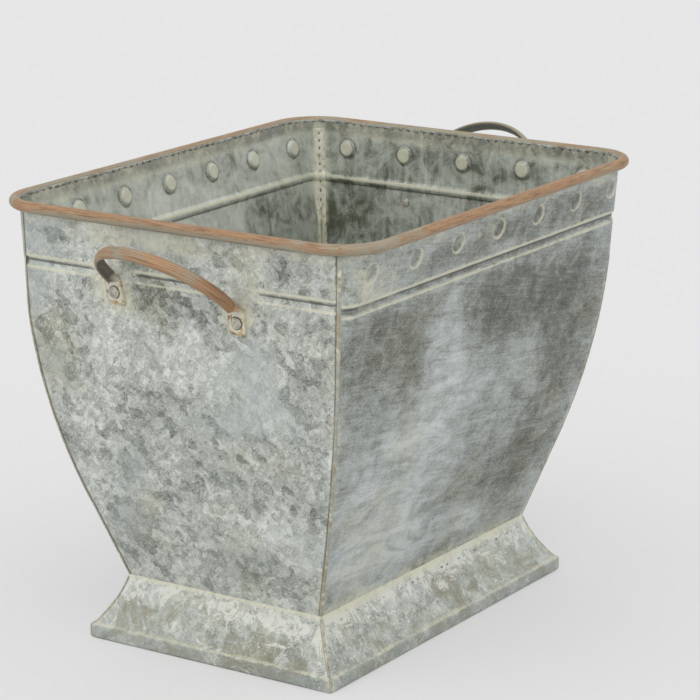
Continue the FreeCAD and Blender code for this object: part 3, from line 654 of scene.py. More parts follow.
def seam_flanges(work, sizes, side):
    """The two flanges that stand inward along a wall's corners, flat against those of the next walls."""
    heights = np.linspace(FLOOR_HIGH.z + 0.5 * MM, sizes.rim_height - sizes.shoulder_drop, 40)
    reach, span, _ = side_outline(sizes, side, heights)
    share = sizes.long_lean if side == "end" else 1 / sizes.long_lean
    way = np.array([-1, -share]) / math.hypot(1, share)
    aside = np.array([share, -1]) / math.hypot(1, share)
    root, gap = 1.6 * MM, 0.05 * MM
    for sign in (1, -1):
        sheets = []
        for shift in (sizes.sheet, gap):
            columns = []
            for reach_in in (root + sizes.seam_flange, root + sizes.seam_flange / 2, root)[::sign]:
                x = reach + way[0] * reach_in + aside[0] * shift
                y = span + way[1] * reach_in + aside[1] * shift
                columns.append(np.stack([x, y * sign, heights], -1))
            sheets.append(np.stack(columns, 1))
        work.add_sheet(*sheets, wash=(0.7, 0.7), grime=(0.2, 0.2), inside=(1.0, 1.0), shade=(0.0, 0.0))


# Foot and solder


def foot_flares(sizes, side):
    """How far a side of the foot and the sides next to it stand out from the waist."""
    half_x, half_y, _ = side_outline(sizes, "end", sizes.waist_height)
    flares = sizes.foot_half_x - half_x, sizes.foot_half_y - half_y
    return flares if side == "end" else flares[::-1]


def foot_profile(sizes, flare):
    """Way out from the waist and height of a foot strip's outer skin, from the ground up to the waist."""
    edge, turn, tuck, waist = sizes.foot_edge, sizes.foot_edge_round, sizes.foot_tuck, sizes.waist_height
    crest, drop = flare - turn, waist - edge
    chord = math.hypot(crest, drop)
    middle = (crest / 2 - sizes.cove_sag * drop / chord, (waist + edge) / 2 - sizes.cove_sag * crest / chord)
    centre, radius = circle_through((crest, edge), middle, (0, waist))
    start = math.atan2(edge - centre[1], crest - centre[0])
    sweep = math.remainder(math.atan2(waist - centre[1], -centre[0]) - start, 2 * math.pi)
    rows = [(flare - tuck * (1 - math.sin(a)), tuck * (1 - math.cos(a))) for a in np.radians((25, 50, 75))]
    rows += [(flare, height) for height in np.linspace(tuck, edge - turn, 5)]
    rows += [(flare - turn * (1 - math.cos(a)), edge - turn * (1 - math.sin(a))) for a in np.radians((22, 45, 68))]
    rows += [(centre[0] + radius * math.cos(a), centre[1] + radius * math.sin(a))
             for a in np.linspace(start, start + sweep, 22)]
    return np.array(rows)


def foot_nose(sizes, heights):
    """How far the foot's corner is rounded off at each height."""
    return sizes.foot_nose * fade(heights, sizes.foot_edge - MM, sizes.foot_edge + 12 * MM)


def foot_panel(sizes, side, seed):
    """One strip of the foot facing +X, with the flange under the body and the turned under edge."""
    top = sizes.waist_height
    waist, span, _ = side_outline(sizes, side, top)
    flare, cross = foot_flares(sizes, side)
    path = foot_profile(sizes, flare)
    way = np.gradient(path, axis=0)
    way = way / np.linalg.norm(way, axis=1)[:, None]
    shares = np.linspace(-1, 1, 90)
    mitre = cross / flare

    def spots(out, height):
        out, height = np.atleast_1d(out)[:, None], np.atleast_1d(height)[:, None]
        y = (span + out * mitre) * shares[None]
        return np.stack([np.broadcast_to(waist + out, y.shape), y, np.broadcast_to(height, y.shape)], -1)

    skin = spots(path[:, 0], path[:, 1])
    run, z = skin[..., 1].copy(), skin[..., 2].copy()
    to_seam = (span + path[:, :1] * mitre) * (1 - np.abs(shares[None]))
    calm = rise(to_seam, 2 * MM, 18 * MM) * fade(z, top - 8 * MM, top) * rise(z, 0, 6 * MM)
    uneven = waves(run, z, seed, 70 * MM, 12 * MM, 24) * 0.5 * MM * calm
    nose = foot_nose(sizes, z) * np.clip(1 - to_seam / (7 * MM), 0, 1) ** 2 * 2 / (flare + cross)
    skin[..., 0] -= nose * flare
    skin[..., 1] -= nose * cross * np.sign(shares)[None]
    lift = np.stack([way[:, 1], np.zeros(len(path)), -way[:, 0]], -1)[:, None, :]
    skin = skin + lift * uneven[..., None]
    back = skin - lift * sizes.sheet
    back[-1, :, 2] = top - sizes.sheet
    ground, tip = flare - sizes.foot_tuck, flare - sizes.foot_flange
    outer = np.concatenate([spots(tip, 0.0), spots(ground, 0.0), skin, spots(-sizes.foot_top_flange, top)])
    inner = np.concatenate([spots(tip, sizes.sheet), spots(ground - sizes.sheet, sizes.sheet), back,
                            spots(-sizes.foot_top_flange, top - sizes.sheet)])

    def spread(values):
        return np.concatenate([values[:1]] * FLANGE_ROWS + [values, values[-1:]])

    # Marks, measured in mm
    up, to_seam, edge, top = z / MM, to_seam / MM, sizes.foot_edge / MM, top / MM
    # A band at the waist crease, partly a painted highlight, a painted highlight along the crest of the foot's
    # edge, and pale wash along the seams
    wash = np.maximum.reduce([0.95 * rise(up, top - (4.5 if side == "end" else 8), top - 0.5),
                              0.6 * band(up, edge - 1.6, edge - 0.6, edge - 0.2, edge + 0.8),
                              0.45 * fade(to_seam, 2, 8)])
    # Painted shade along the foot's bottom edge, and a dark line along the seams
    dark = np.maximum(0.6 * fade(up, 0.3, 2), 0.7 * fade(to_seam, 1.0, 2.2))
    shade = 2 * rise(up, edge + 6, top - 6) - 1
    work = SheetWork()
    work.add_sheet(outer, inner, wash=(spread(wash), 0.0), grime=(spread(dark), 0.0), inside=(0.0, 1.0),
                   shade=(spread(shade), 0.0), lip=(spread(fade(up, edge - 2.5, edge - 1)), 0.0))
    return work


def corner_spots(outline, turn, share, wide):
    """Plan places and normals at a share of a width from the corner seam at +X +Y, along the outline."""
    half_x, half_y, radius = outline
    reach, span, turn = (half_x, half_y, turn) if share < 0 else (half_y, half_x, math.pi / 2 - turn)
    flat = span - radius
    out, along, bend = arc_spots(reach, flat, radius, flat + radius * turn - abs(share) * wide)
    spots = (out, along, np.cos(bend), np.sin(bend))
    return spots if share < 0 else (spots[1], spots[0], spots[3], spots[2])


def corner_bar(outline, turn, heights, wide, section):
    """A bar along the corner at +X +Y, from rows of a share of its width, a height over the sheet and a mark."""
    rings, edge = [], []
    for share, lift, mark in section:
        x, y, normal_x, normal_y = corner_spots(outline, turn, share, wide)
        rings.append(np.stack([x + normal_x * lift, y + normal_y * lift, heights], -1))
        edge.append(np.broadcast_to(mark, heights.shape))
    work = SheetWork()
    work.add_tube(np.stack(rings, 1), edge=np.stack(edge, 1))
    return work


def solder_line(sizes, outline, turn, heights, seed):
    """A drawn line of solder over a corner: crowned section of uneven width and height."""
    wide = sizes.solder_width / 2 * (1 + 0.22 * waves(heights, 0, seed, 60 * MM, 9 * MM, 14))
    high = 0.9 + 0.3 * waves(heights, 0, seed + 1, 40 * MM, 6 * MM, 14)
    high = sizes.solder_height * np.clip(high, 0.25, 1.25)
    section = [(share, crown * high, mark) for share, crown, mark in SOLDER_TOP]
    section += [(share, -0.25 * MM, 1) for share in SOLDER_UNDER]
    return corner_bar(outline, turn, heights, wide, section)


def inner_seam(sizes, end_drop, seed):
    """The pale strip of filler down an inside corner and over the beads, with a hammered line along its middle."""
    heights = np.linspace(FLOOR_HIGH.z + MM, sizes.rim_height - 5 * MM, 300)
    half_x, half_y, radius = side_outline(sizes, "end", heights)
    outline = half_x - sizes.sheet, half_y - sizes.sheet, np.clip(radius - sizes.sheet, 0.4 * MM, None)
    wide = 4.4 * MM * (1 + 0.12 * waves(heights, 0, seed, 70 * MM, 10 * MM, 14))
    thick = 0.9 * MM * (1 + 0.25 * waves(heights, 0, seed + 1, 50 * MM, 8 * MM, 14))
    dashes = 0.5 + 0.5 * np.sin(heights * 2 * math.pi / (6.5 * MM) + 2 * np.sin(heights * 61))
    rows = [(share, crown * thick - dash * dashes * 0.5 * MM, dash * dashes) for share, crown, dash in FILLER_TOP]
    rows += [(share, -0.2 * MM, 0) for share in FILLER_UNDER]
    section = []
    for share, depth, mark in rows:
        drop = end_drop if share < 0 else sizes.bead_drop
        press = bead_trough(sizes, heights - sizes.rim_height + drop) * bead_end(abs(share) * wide)
        section.append((share, -(depth + press), mark))
    return corner_bar(outline, seam_turn(sizes, "end"), heights, wide, section)


# Handles


def wall_place(sizes, handles, turn):
    """Place on an end's shoulder at the handle: X along the wall, Y up the wall, Z out of it."""
    lean = math.atan2(sizes.end_inset, sizes.shoulder_drop)
    x = sizes.rim_half_x - sizes.wire - sizes.roll_gap - sizes.end_inset * handles.drop / sizes.shoulder_drop
    sine, cosine = math.sin(lean), math.cos(lean)
    matrix = Matrix(((0, sine, cosine, x), (1, 0, 0, 0), (0, cosine, -sine, sizes.rim_height - handles.drop),
                     (0, 0, 0, 1)))
    return Matrix.Rotation(math.radians(turn), 4, "Z") @ matrix


def strap_section(handles):
    """Section of the strap: its height over its open side and its place across, round the back and the hollow."""
    half, sheet = handles.strap_width / 2, handles.strap_sheet
    rows = []
    for height, wide, turns in ((handles.strap_height, half, np.linspace(-1, 1, STRAP_POINTS)),
                                (handles.strap_height - sheet, half - 0.8 * sheet,
                                 np.linspace(1, -1, STRAP_POINTS - 2))):
        turns = turns * math.pi / 2
        rows.append(np.stack([height * np.cos(turns) ** 0.8, wide * np.sin(turns)]))
    return np.concatenate(rows, 1)


def tab_section():
    """Section of a flattened foot with the strap's count of points: across from -1 to 1, through from 0 to 1."""
    third, rest = STRAP_POINTS // 3, STRAP_POINTS - 2
    across = [*np.linspace(-1, 1, third), *[1] * third, *np.linspace(1, -1, third), *[-1] * rest]
    through = [*[0] * third, *np.linspace(0, 1, third), *[1] * third, *(1 - (np.arange(rest) + 0.5) / rest)]
    return np.array(across), np.array(through)


def handle_work(handles, reach, rise_turn, skews, worn):
    """Rings and marks of one handle at the wall's place: bow, necks and flattened feet, swept as one bar."""
    half_span = handles.span / 2
    bow = half_span - handles.strap_height / 2
    leg = reach - handles.strap_height - bow
    root = np.array([0, handles.tab_height / 2 - handles.tab_thickness, handles.tab_thickness / 2])
    up = np.array([0, math.sin(rise_turn), math.cos(rise_turn)])
    normal = np.array([0, -math.cos(rise_turn), math.sin(rise_turn)])
    side_way = np.array([1.0, 0, 0])
    outwards, sideways = strap_section(handles)
    across, through = tab_section()

    def strap_at(centre, outward):
        return centre + np.outer(outwards, outward) + np.outer(sideways, normal)

    def tab_at(side, height, share, thick):
        x = side * half_span - skews[side] * height + side * across * handles.tab_width / 2 * share
        return np.stack([x, np.full_like(x, height), through * handles.tab_thickness * thick], -1)

    def foot_at(side):
        top = handles.tab_height / 2
        rows = ((-top, 0.72, 0.8), (-top + 0.5 * MM, 0.86, 0.8), (-top + 1.6 * MM, 0.97, 1),
                (-top + 3 * MM, 1.0, 1), (0.0, 1.0, 1), (top - 4 * MM, 1.0, 1), (top - 1.5 * MM, 0.98, 1))
        rings = [tab_at(side, *row) for row in rows]
        last = tab_at(side, top, 0.95, 1)
        neck_end = strap_at(root + side_way * side * bow + up * handles.neck, side_way * side)
        for share in np.linspace(0, 1, 9):
            eased = rise(share, 0, 1)
            bulge = np.array([0, 0.35, 0.9]) * math.sin(math.pi * share) * 0.9 * MM
            rings.append(last * (1 - eased) + neck_end * eased + bulge)
        return rings

    rings = foot_at(1)
    foot_rings = len(rings)
    steps = np.linspace(handles.neck, leg, 6)[1:]
    rings += [strap_at(root + side_way * bow + up * step, side_way) for step in steps]
    for turn in np.linspace(0, math.pi, 49)[1:-1]:
        outward = side_way * math.cos(turn) + up * math.sin(turn)
        rings.append(strap_at(root + up * leg + outward * bow, outward))
    rings += [strap_at(root - side_way * bow + up * step, -side_way) for step in steps[::-1]]
    rings = np.array(rings + foot_at(-1)[::-1])

    tab = np.zeros((len(rings), 1))
    tab[:foot_rings, 0] = fade(np.arange(foot_rings), 6, foot_rings - 1)
    tab[-foot_rings:] = tab[:foot_rings][::-1]
    hollow = np.arange(rings.shape[1]) >= STRAP_POINTS
    border = np.zeros(rings.shape[1])
    border[[0, 1, STRAP_POINTS - 2, STRAP_POINTS - 1]] = (1.0, 0.6, 0.6, 1.0)
    outline = np.zeros(rings.shape[:2])
    outline[:3] = outline[-3:] = 1
    third = STRAP_POINTS // 3
    for place in (0, third - 1, third, 2 * third - 1, 2 * third, STRAP_POINTS - 1):
        outline[:, place] = np.maximum(outline[:, place], tab[:, 0] > 0.5)
    gaps = np.linalg.norm(np.diff(rings.mean(1), axis=0), axis=1)
    distance = np.concatenate([[0], np.cumsum(gaps)])[:, None]
    return rings, {"tab": tab, "hollow": hollow * (1 - tab), "rim": outline, "border": border * (1 - tab),
                   "worn": worn, "distance": distance, "around": np.linspace(0, 1, rings.shape[1])}


def rivet_seed(handles, sizes):
    """One rivet at the origin of the wall's place: dented dome outside, round tail inside."""
    under, low, tail = -sizes.sheet, handles.tab_thickness, handles.tail_height
    head = [(handles.head * share, low + handles.head_height * (0.16 + 0.84 * (1 - share ** 2.4)))
            for share in np.linspace(0.12, 1, 9)]
    head[-1] = (handles.head, low + 0.25 * MM)
    stem = [(handles.head * 0.985, low), (handles.shank, low), (handles.shank, under), (handles.tail, under),
            (handles.tail, under - 0.6 * tail), (0.8 * handles.tail, under - tail)]
    turns = 2 * math.pi * np.arange(RIVET_AROUND) / RIVET_AROUND
    points = [(0.0, 0.0, low + handles.head_height)]
    for number, (radius, height) in enumerate(head + stem):
        dent = 0.035 * np.sin(3 * turns + 0.7) + 0.02 * np.sin(7 * turns) if number < len(head) else 0 * turns
        points += [(r * math.cos(a), r * math.sin(a), height) for r, a in zip(radius * (1 + dent), turns)]
    points.append((0.0, 0.0, under - tail))
    rings = 1 + np.arange(len(points) - 2).reshape(-1, RIVET_AROUND)
    after = np.roll(rings, -1, 1)
    faces = [(0, a, b) for a, b in zip(rings[0].tolist(), after[0].tolist())]
    faces += np.stack([rings[:-1], rings[1:], after[1:], after[:-1]], -1).reshape(-1, 4).tolist()
    faces += [(a, len(points) - 1, b) for a, b in zip(rings[-1].tolist(), after[-1].tolist())]
    mesh = bpy.data.meshes.new("rivet_seed")
    mesh.from_pydata(points, [], faces)
    mesh.polygons.foreach_set("use_smooth", [True] * len(faces))
    mesh.set_sharp_from_angle(angle=math.radians(STRAP_SHARP))
    rim = [1.0 if math.hypot(x, y) > 0.85 * handles.head else 0.0 for x, y, _ in points]
    mesh.attributes.new("rim", "FLOAT", "POINT").data.foreach_set("value", rim)
    return new_piece("rivet_seed", mesh)


def path_piece(lines):
    """Thin lines of points for marks to follow."""
    points, edges = [], []
    for line in lines:
        edges += [(len(points) + i, len(points) + i + 1) for i in range(len(line) - 1)]
        points += line.tolist()
    mesh = bpy.data.meshes.new("path")
    mesh.from_pydata(points, edges, [])
    return new_piece("path", mesh)


# Node trees


class Nodes:
    """Short calls for building a node tree."""

    def __init__(self, tree):
        self.tree = tree

    def node(self, kind, links=None, **settings):
        """Adds a node, sets it up and joins its inputs."""
        node = self.tree.nodes.new(kind)
        for name, value in settings.items():
            setattr(node, name, value)
        for name, source in (links or {}).items():
            if isinstance(source, bpy.types.NodeSocket):
                self.tree.links.new(source, node.inputs[name])
            else:
                node.inputs[name].default_value = source
        return node

    def out(self, kind, links=None, socket=0, **settings):
        """Adds a node and gives one of its outputs."""
        return self.node(kind, links, **settings).outputs[socket]

    def sum(self, operation, a, b):
        """One step of arithmetic on two values."""
        return self.out("ShaderNodeMath", {0: a, 1: b}, operation=operation)

    def times(self, a, b):
        """Product of two values."""
        return self.sum("MULTIPLY", a, b)

    def plus(self, a, b):
        """Sum of two values."""
        return self.sum("ADD", a, b)

    def vector(self, **parts):
        """A vector from values for X, Y and Z."""
        return self.out("ShaderNodeCombineXYZ", parts)


class GrowthTree(Nodes):
    """A geometry tree with named inputs that ends in plain geometry."""

    def __init__(self, name, **inputs):
        super().__init__(bpy.data.node_groups.new(name, "GeometryNodeTree"))
        for way in ("INPUT", "OUTPUT"):
            self.tree.interface.new_socket("Geometry", in_out=way, socket_type="NodeSocketGeometry")
        for label, (kind, default) in inputs.items():
            self.tree.interface.new_socket(label, in_out="INPUT", socket_type=kind).default_value = default
        self.given = self.tree.nodes.new("NodeGroupInput").outputs

    def close(self, geometry, material):
        """Ends the tree in real geometry with its finish."""
        real = self.out("GeometryNodeRealizeInstances", {"Geometry": geometry})
        made = self.out("GeometryNodeSetMaterial", {"Geometry": real, "Material": material})
        self.node("NodeGroupOutput", {0: made})
        return self.tree


def grown(piece, tree, name, **values):
    """Runs a tree on a piece and gives the result as a plain mesh object."""
    modifier = piece.modifiers.new("Grow", "NODES")
    modifier.node_group = tree
    for item in tree.interface.items_tree:
        if item.item_type == "SOCKET" and item.in_out == "INPUT" and item.name in values:
            modifier[item.identifier] = values[item.name]
    bpy.context.view_layer.update()
    graph = bpy.context.evaluated_depsgraph_get()
    mesh = bpy.data.meshes.new_from_object(piece.evaluated_get(graph), preserve_all_data_layers=True,
                                           depsgraph=graph)
    mesh.name = name
    made = new_piece(name, mesh)
    piece.modifiers.remove(modifier)
    seed_mesh = piece.data
    bpy.data.objects.remove(piece)
    bpy.data.meshes.remove(seed_mesh)
    return made


def rivet_tree(material):
    """Sets one rivet at both ends of a span and takes them to their wall."""
    vector = ("NodeSocketVector", (0, 0, 0))
    t = GrowthTree("Rivet pair", Span=("NodeSocketFloat", 0.101), Slant=("NodeSocketFloat", 0.0), Turn=vector,
                   Place=vector)
    first = t.vector(X=t.times(t.given["Span"], -0.5))
    step = t.vector(X=t.given["Span"])
    row = t.out("GeometryNodeMeshLine", {"Count": 2, "Start Location": first, "Offset": step}, mode="OFFSET")
    spin = t.out("FunctionNodeRandomValue", {2: 0.0, 3: 6.28, "Seed": 5}, 1, data_type="FLOAT")
    pair = t.out("GeometryNodeInstanceOnPoints", {"Points": row, "Instance": t.given["Geometry"],
                                                  "Rotation": t.vector(Z=spin)})
    slanted = t.out("GeometryNodeTransform", {"Geometry": pair, "Rotation": t.vector(Z=t.given["Slant"])})
    placed = t.out("GeometryNodeTransform", {"Geometry": slanted, "Rotation": t.given["Turn"],
                                             "Translation": t.given["Place"]})
    return t.close(placed, material)


def edge_marks_tree(material):
    """Sets small worked marks along an edge, a spacing apart, each a little different."""
    lengths = {"Spacing": 0.009, "Length": 0.005, "Height": 0.002, "Depth": 0.0006, "Incline": 0.0, "Stray": 0.0005}
    t = GrowthTree("Marks along an edge", **{name: ("NodeSocketFloat", value) for name, value in lengths.items()},
                   Seed=("NodeSocketInt", 3))
    given = t.given
    path = t.out("GeometryNodeMeshToCurve", {"Mesh": given["Geometry"]})
    spots = t.out("GeometryNodeResampleCurve", {"Curve": path, "Length": given["Spacing"]}, mode="LENGTH")
    stray, back = given["Stray"], t.times(given["Stray"], -1.0)
    shift = t.out("FunctionNodeRandomValue", {0: t.vector(X=back, Y=back), 1: t.vector(X=stray, Y=stray),
                                              "Seed": given["Seed"]}, data_type="FLOAT_VECTOR")
    moved = t.out("GeometryNodeSetPosition", {"Geometry": spots, "Offset": shift})
    size = t.vector(X=given["Length"], Y=given["Depth"], Z=given["Height"])
    ball = t.out("GeometryNodeMeshUVSphere", {"Segments": 9, "Rings": 6, "Radius": 0.5})
    smooth = t.out("GeometryNodeSetShadeSmooth", {"Geometry": ball})
    mark = t.out("GeometryNodeTransform", {"Geometry": smooth, "Scale": size,
                                           "Rotation": t.vector(X=given["Incline"])})
    facing = t.out("FunctionNodeAlignRotationToVector", {"Vector": t.out("GeometryNodeInputTangent")}, axis="X",
                   pivot_axis="Z")
    spread = t.out("FunctionNodeRandomValue", {0: (0.35, 0.8, 0.4), 1: (1.3, 1.1, 1.3), "Seed": given["Seed"]},
                   data_type="FLOAT_VECTOR")
    marks = t.out("GeometryNodeInstanceOnPoints", {"Points": moved, "Instance": mark, "Rotation": facing,
                                                   "Scale": spread})
    return t.close(marks, material)


class Finish(Nodes):
    """Short calls for building one finish: its patterns, and the colour painted so far."""

    def __init__(self, name, metal):
        self.material = bpy.data.materials.new(name)
        self.material.use_nodes = True
        super().__init__(self.material.node_tree)
        self.tree.nodes.clear()
        self.shader = self.node("ShaderNodeBsdfPrincipled", {"Metallic": metal})
        self.node("ShaderNodeOutputMaterial", {"Surface": self.shader.outputs[0]})
        self.place = self.out("ShaderNodeTexCoord", socket="Object")
        self.shade = None

    def mark(self, name):
        """A mark kept on the piece's points."""
        return self.out("ShaderNodeAttribute", socket="Fac", attribute_name=name)

    def sized(self, size, turn=(0, 0, 0), place=None):
        """The place measured in steps of a size in metres, turned by degrees."""
        return self.out("ShaderNodeMapping", {"Vector": place or self.place, "Scale": size,
                                              "Rotation": [math.radians(a) for a in turn]}, vector_type="TEXTURE")

    def noise(self, scale, detail=4.0, rough=0.55, warp=0.0, place=None):
        """Cloudy noise, 0 to 1."""
        return self.out("ShaderNodeTexNoise", {"Vector": place or self.place, "Scale": scale, "Detail": detail,
                                               "Roughness": rough, "Distortion": warp}, "Fac")

    def strokes(self, size, slope, detail=4.0, rough=0.6, warp=0.3):
        """Noise drawn out to brush strokes of a size in metres, sloping down to the right by degrees."""
        return self.noise(1.0, detail, rough, warp, self.sized(size, (0, slope, 0)))

    def drawn(self, detail, rough, warp, **scales):
        """Noise drawn along two marks, each with its scale."""
        x, y = (self.times(self.mark(name), scale) for name, scale in scales.items())
        return self.noise(1.0, detail, rough, warp, self.vector(X=x, Y=y))

    def flakes(self, scale, place, edges="EUCLIDEAN"):
        """Random tone of each crystal flake, 0 to 1."""
        cells = self.out("ShaderNodeTexVoronoi", {"Vector": place, "Scale": scale, "Randomness": 1.0}, "Color",
                         distance=edges)
        return self.out("ShaderNodeSeparateColor", {"Color": cells})

    def warped(self, scale, amount, place=None):
        """The place, pushed about by noise so that edges come out ragged."""
        base = place or self.place
        push = self.out("ShaderNodeTexNoise", {"Vector": base, "Scale": scale, "Detail": 2.0}, "Color")
        push = self.out("ShaderNodeVectorMath", {0: push, 1: (0.5, 0.5, 0.5)}, operation="SUBTRACT")
        push = self.out("ShaderNodeVectorMath", {0: push, "Scale": amount}, operation="SCALE")
        return self.out("ShaderNodeVectorMath", {0: base, 1: push}, operation="ADD")

    def feathers(self, flake, size):
        """Strokes of a size in metres, drawn a different way in each crystal flake."""
        combed = self.out("ShaderNodeVectorRotate", {"Vector": self.place, "Angle": self.times(flake, 2 * math.pi)},
                          rotation_type="X_AXIS")
        return self.noise(1.0, 3.0, 0.65, 0.5, self.sized(size, place=combed))

    def weigh(self, *parts, base=0.5):
        """Weighted sum of values, each taken about its middle where the base is not 0."""
        total = None
        for value, weight in parts:
            part = self.out("ShaderNodeMath", {0: value, 1: weight, 2: -weight / 2 if base else 0.0},
                            operation="MULTIPLY_ADD")
            total = part if total is None else self.plus(total, part)
        return self.plus(total, base) if base else total

    def span(self, value, low, high, start=0.0, end=1.0):
        """Smooth change from start at low to end at high."""
        return self.out("ShaderNodeMapRange", {"Value": value, "From Min": low, "From Max": high, "To Min": start,
                                               "To Max": end}, interpolation_type="SMOOTHSTEP")

    def ragged(self, name, noise, weight, low, high):
        """A mark with its edges broken up by noise."""
        return self.span(self.weigh((self.mark(name), 1.0), (noise, weight), base=0.0), low, high)

    def tones(self, value, *stops):
        """Colour ramp through places and colours."""
        node = self.node("ShaderNodeValToRGB", {"Fac": value})
        elements = node.color_ramp.elements
        while len(elements) < len(stops):
            elements.new(1.0)
        for element, (place, shade) in zip(elements, stops):
            element.position = place
            element.color = (*shade, 1)
        return node.outputs[0]

    def cover(self, colour, share, strength=None, kind="MIX"):
        """Lays a colour over the finish by a share."""
        share = share if strength is None else self.times(share, strength)
        colour = colour if isinstance(colour, bpy.types.NodeSocket) else (*colour, 1)
        self.shade = self.out("ShaderNodeMix", {0: share, 6: self.shade, 7: colour}, 2, data_type="RGBA",
                              blend_type=kind)

    def close(self, rough, bump, depth):
        """Joins colour, roughness and bump to the shader."""
        relief = self.out("ShaderNodeBump", {"Height": bump, "Strength": 0.6, "Distance": depth})
        for name, source in (("Base Color", self.shade), ("Roughness", rough), ("Normal", relief)):
            self.tree.links.new(source, self.shader.inputs[name])
        return self.material


# Finishes


def zinc_finish(name, colours):
    """Aged galvanised sheet: spangled on the ends, brushed on the long sides, limed and stained on the foot."""
    kind = name.split("_")[-1]
    f = Finish(name, 0.3)
    # The listed ovals: stains, with painted shade over the right part of the front wall
    stain_and_shade = f.mark("shade")
    fine = f.noise(950, 4.0, 0.75, 1.6)
    patch = f.noise(58, 6.0, 0.62, 0.9)
    cloud = f.noise(11, 4.0, 0.55, 0.6)
    small = f.flakes(420, f.warped(330, 0.002))
    if kind == "long":
        smear = f.strokes((0.045, 0.045, 0.012), 5, 8.0, 0.68, 0.9)
        drag = f.strokes((0.02, 0.02, 0.0042), 8, 7.0, 0.7, 0.6)
        hair = f.strokes((0.03, 0.03, 0.0009), 10, 3.0, 0.6, 0.2)
        scratch = f.span(f.strokes((0.014, 0.014, 0.0013), -10, 5.0, 0.7, 0.5), 0.58, 0.68)
        rubbed = f.span(f.noise(26, 5.0, 0.65, 0.5), 0.44, 0.6)
        nick = f.span(f.strokes((0.02, 0.02, 0.001), 12, 4.0, 0.65, 0.4), 0.6, 0.7)
        tone = f.weigh((smear, 0.75), (drag, 0.36), (hair, 0.28), (fine, 1.2), (patch, 0.6), (cloud, 0.3),
                       (small, 0.08), base=0.54)
        tone = f.plus(tone, f.times(stain_and_shade, f.span(smear, 0.35, 0.62, 0.2, 0.36)))
        tone = f.plus(tone, f.times(f.times(scratch, rubbed), 0.24))
        tone = f.plus(tone, f.times(nick, -0.14))
        f.shade = f.tones(tone, (0.08, colours.brushed_deep), (0.3, colours.brushed_dark),
                          (0.5, colours.brushed_mid), (0.7, colours.brushed_light), (0.95, colours.brushed_bright))
        grain = ((drag, 0.5), (hair, 0.3))
    else:
        flake = 1.0 if kind == "end" else 0.7
        spangle = f.flakes(150, f.warped(240, 0.005))
        leaf = f.flakes(1.0, f.warped(1.1, 0.5, f.sized((0.0095, 0.0095, 0.0068), (35, 20, 0))), "MANHATTAN")
        chip = f.flakes(1.0, f.warped(0.8, 0.7, f.sized((0.0052, 0.0052, 0.0032), (-40, 15, 0))), "MANHATTAN")
        feather = f.feathers(chip, (0.0012, 0.0052, 0.0011))
        cluster = f.plus(f.noise(26, 4.0, 0.6), f.times(stain_and_shade, -0.12))
        dark = f.times(f.span(leaf, 0.6, 0.62), f.span(cluster, 0.4, 0.5))
        pale = f.times(f.span(chip, 0.62, 0.66), f.span(cluster, 0.58, 0.4))
        tone = f.weigh((spangle, 0.08 * flake), (leaf, 0.17 * flake), (chip, 0.14 * flake), (feather, 0.9),
                       (fine, 0.75), (patch, 0.24), (cloud, 0.35), base=0.605)
        tone = f.plus(tone, f.times(dark, -0.25 * flake))
        tone = f.plus(tone, f.times(pale, 0.09 * flake))
        if kind == "end":
            tone = f.plus(tone, f.times(stain_and_shade, f.span(patch, 0.3, 0.65, 0.08, 0.2)))
        f.shade = f.tones(tone, (0.05, colours.zinc_deep), (0.28, colours.zinc_dark), (0.52, colours.zinc_mid),
                          (0.74, colours.zinc_light), (0.95, colours.zinc_bright))
        f.cover(colours.brushed_light, f.span(f.noise(13, 3.0, 0.5, 0.4), 0.52, 0.66, 0.0, 0.45))
        grain = ((chip, 0.14), (feather, 0.4))
    f.cover(colours.tan, f.span(f.noise(15, 5.0, 0.6, 0.5), 0.5, 0.66, 0.0, 0.32), kind="MULTIPLY")
    if kind == "foot":
        f.cover(colours.olive, f.span(f.plus(f.noise(30, 7.0, 0.7, 0.9), f.times(stain_and_shade, -0.05)), 0.5, 0.68), 0.66)
        f.cover(colours.lime, f.span(f.plus(f.noise(75, 8.0, 0.76, 0.9), f.times(stain_and_shade, 0.05)), 0.52, 0.575), 0.72)
        f.cover(colours.brushed_mid, f.times(f.mark("lip"), f.span(patch, 0.4, 0.6, 0.55, 0.1)))
    moss = f.weigh((f.noise(62, 7.0, 0.68, 0.7), 1.4), (f.strokes((0.004, 0.004, 0.03), 0), 0.5), (fine, 0.6),
                   (cloud, 0.5), base=0.58 if kind == "long" else 0.46)
    f.cover(f.tones(f.plus(moss, f.times(stain_and_shade, 0.22)), (0.12, colours.inside_deep), (0.5, colours.inside_mid),
                    (0.86, colours.inside_light)), f.mark("inside"))
    breakup = f.noise(170, 6.0, 0.7, 0.6)
    # Grime and painted shade from the marks: dark seam lines, and shade under the rim, in the bead and dimples and
    # round the bosses
    f.cover(colours.grime, f.ragged("grime", breakup, 0.9, 0.72, 1.1), 0.72)
    # Pale wash from the marks, with painted highlights at the waist and along the foot's crest
    wash = f.span(f.weigh((f.mark("wash"), 0.85), (breakup, 1.5), (f.noise(34), 0.9), base=0.0), 1.3, 1.95)
    wash = f.times(wash, f.span(f.mark("wash"), 0.02, 0.2))
    f.cover(colours.wash, wash, 0.74)
    rust = f.times(f.span(f.noise(90, 4.0, 0.6), 0.66, 0.74), f.span(f.noise(8, 3.0), 0.52, 0.62))
    f.cover(colours.ochre, rust, 0.5)
    rough = f.span(f.plus(cloud, f.times(wash, 0.4)), 0.25, 0.95, 0.44, 0.66)
    return f.close(rough, f.weigh((small, 0.12), (fine, 0.6), (patch, 0.3), *grain), 0.0007)


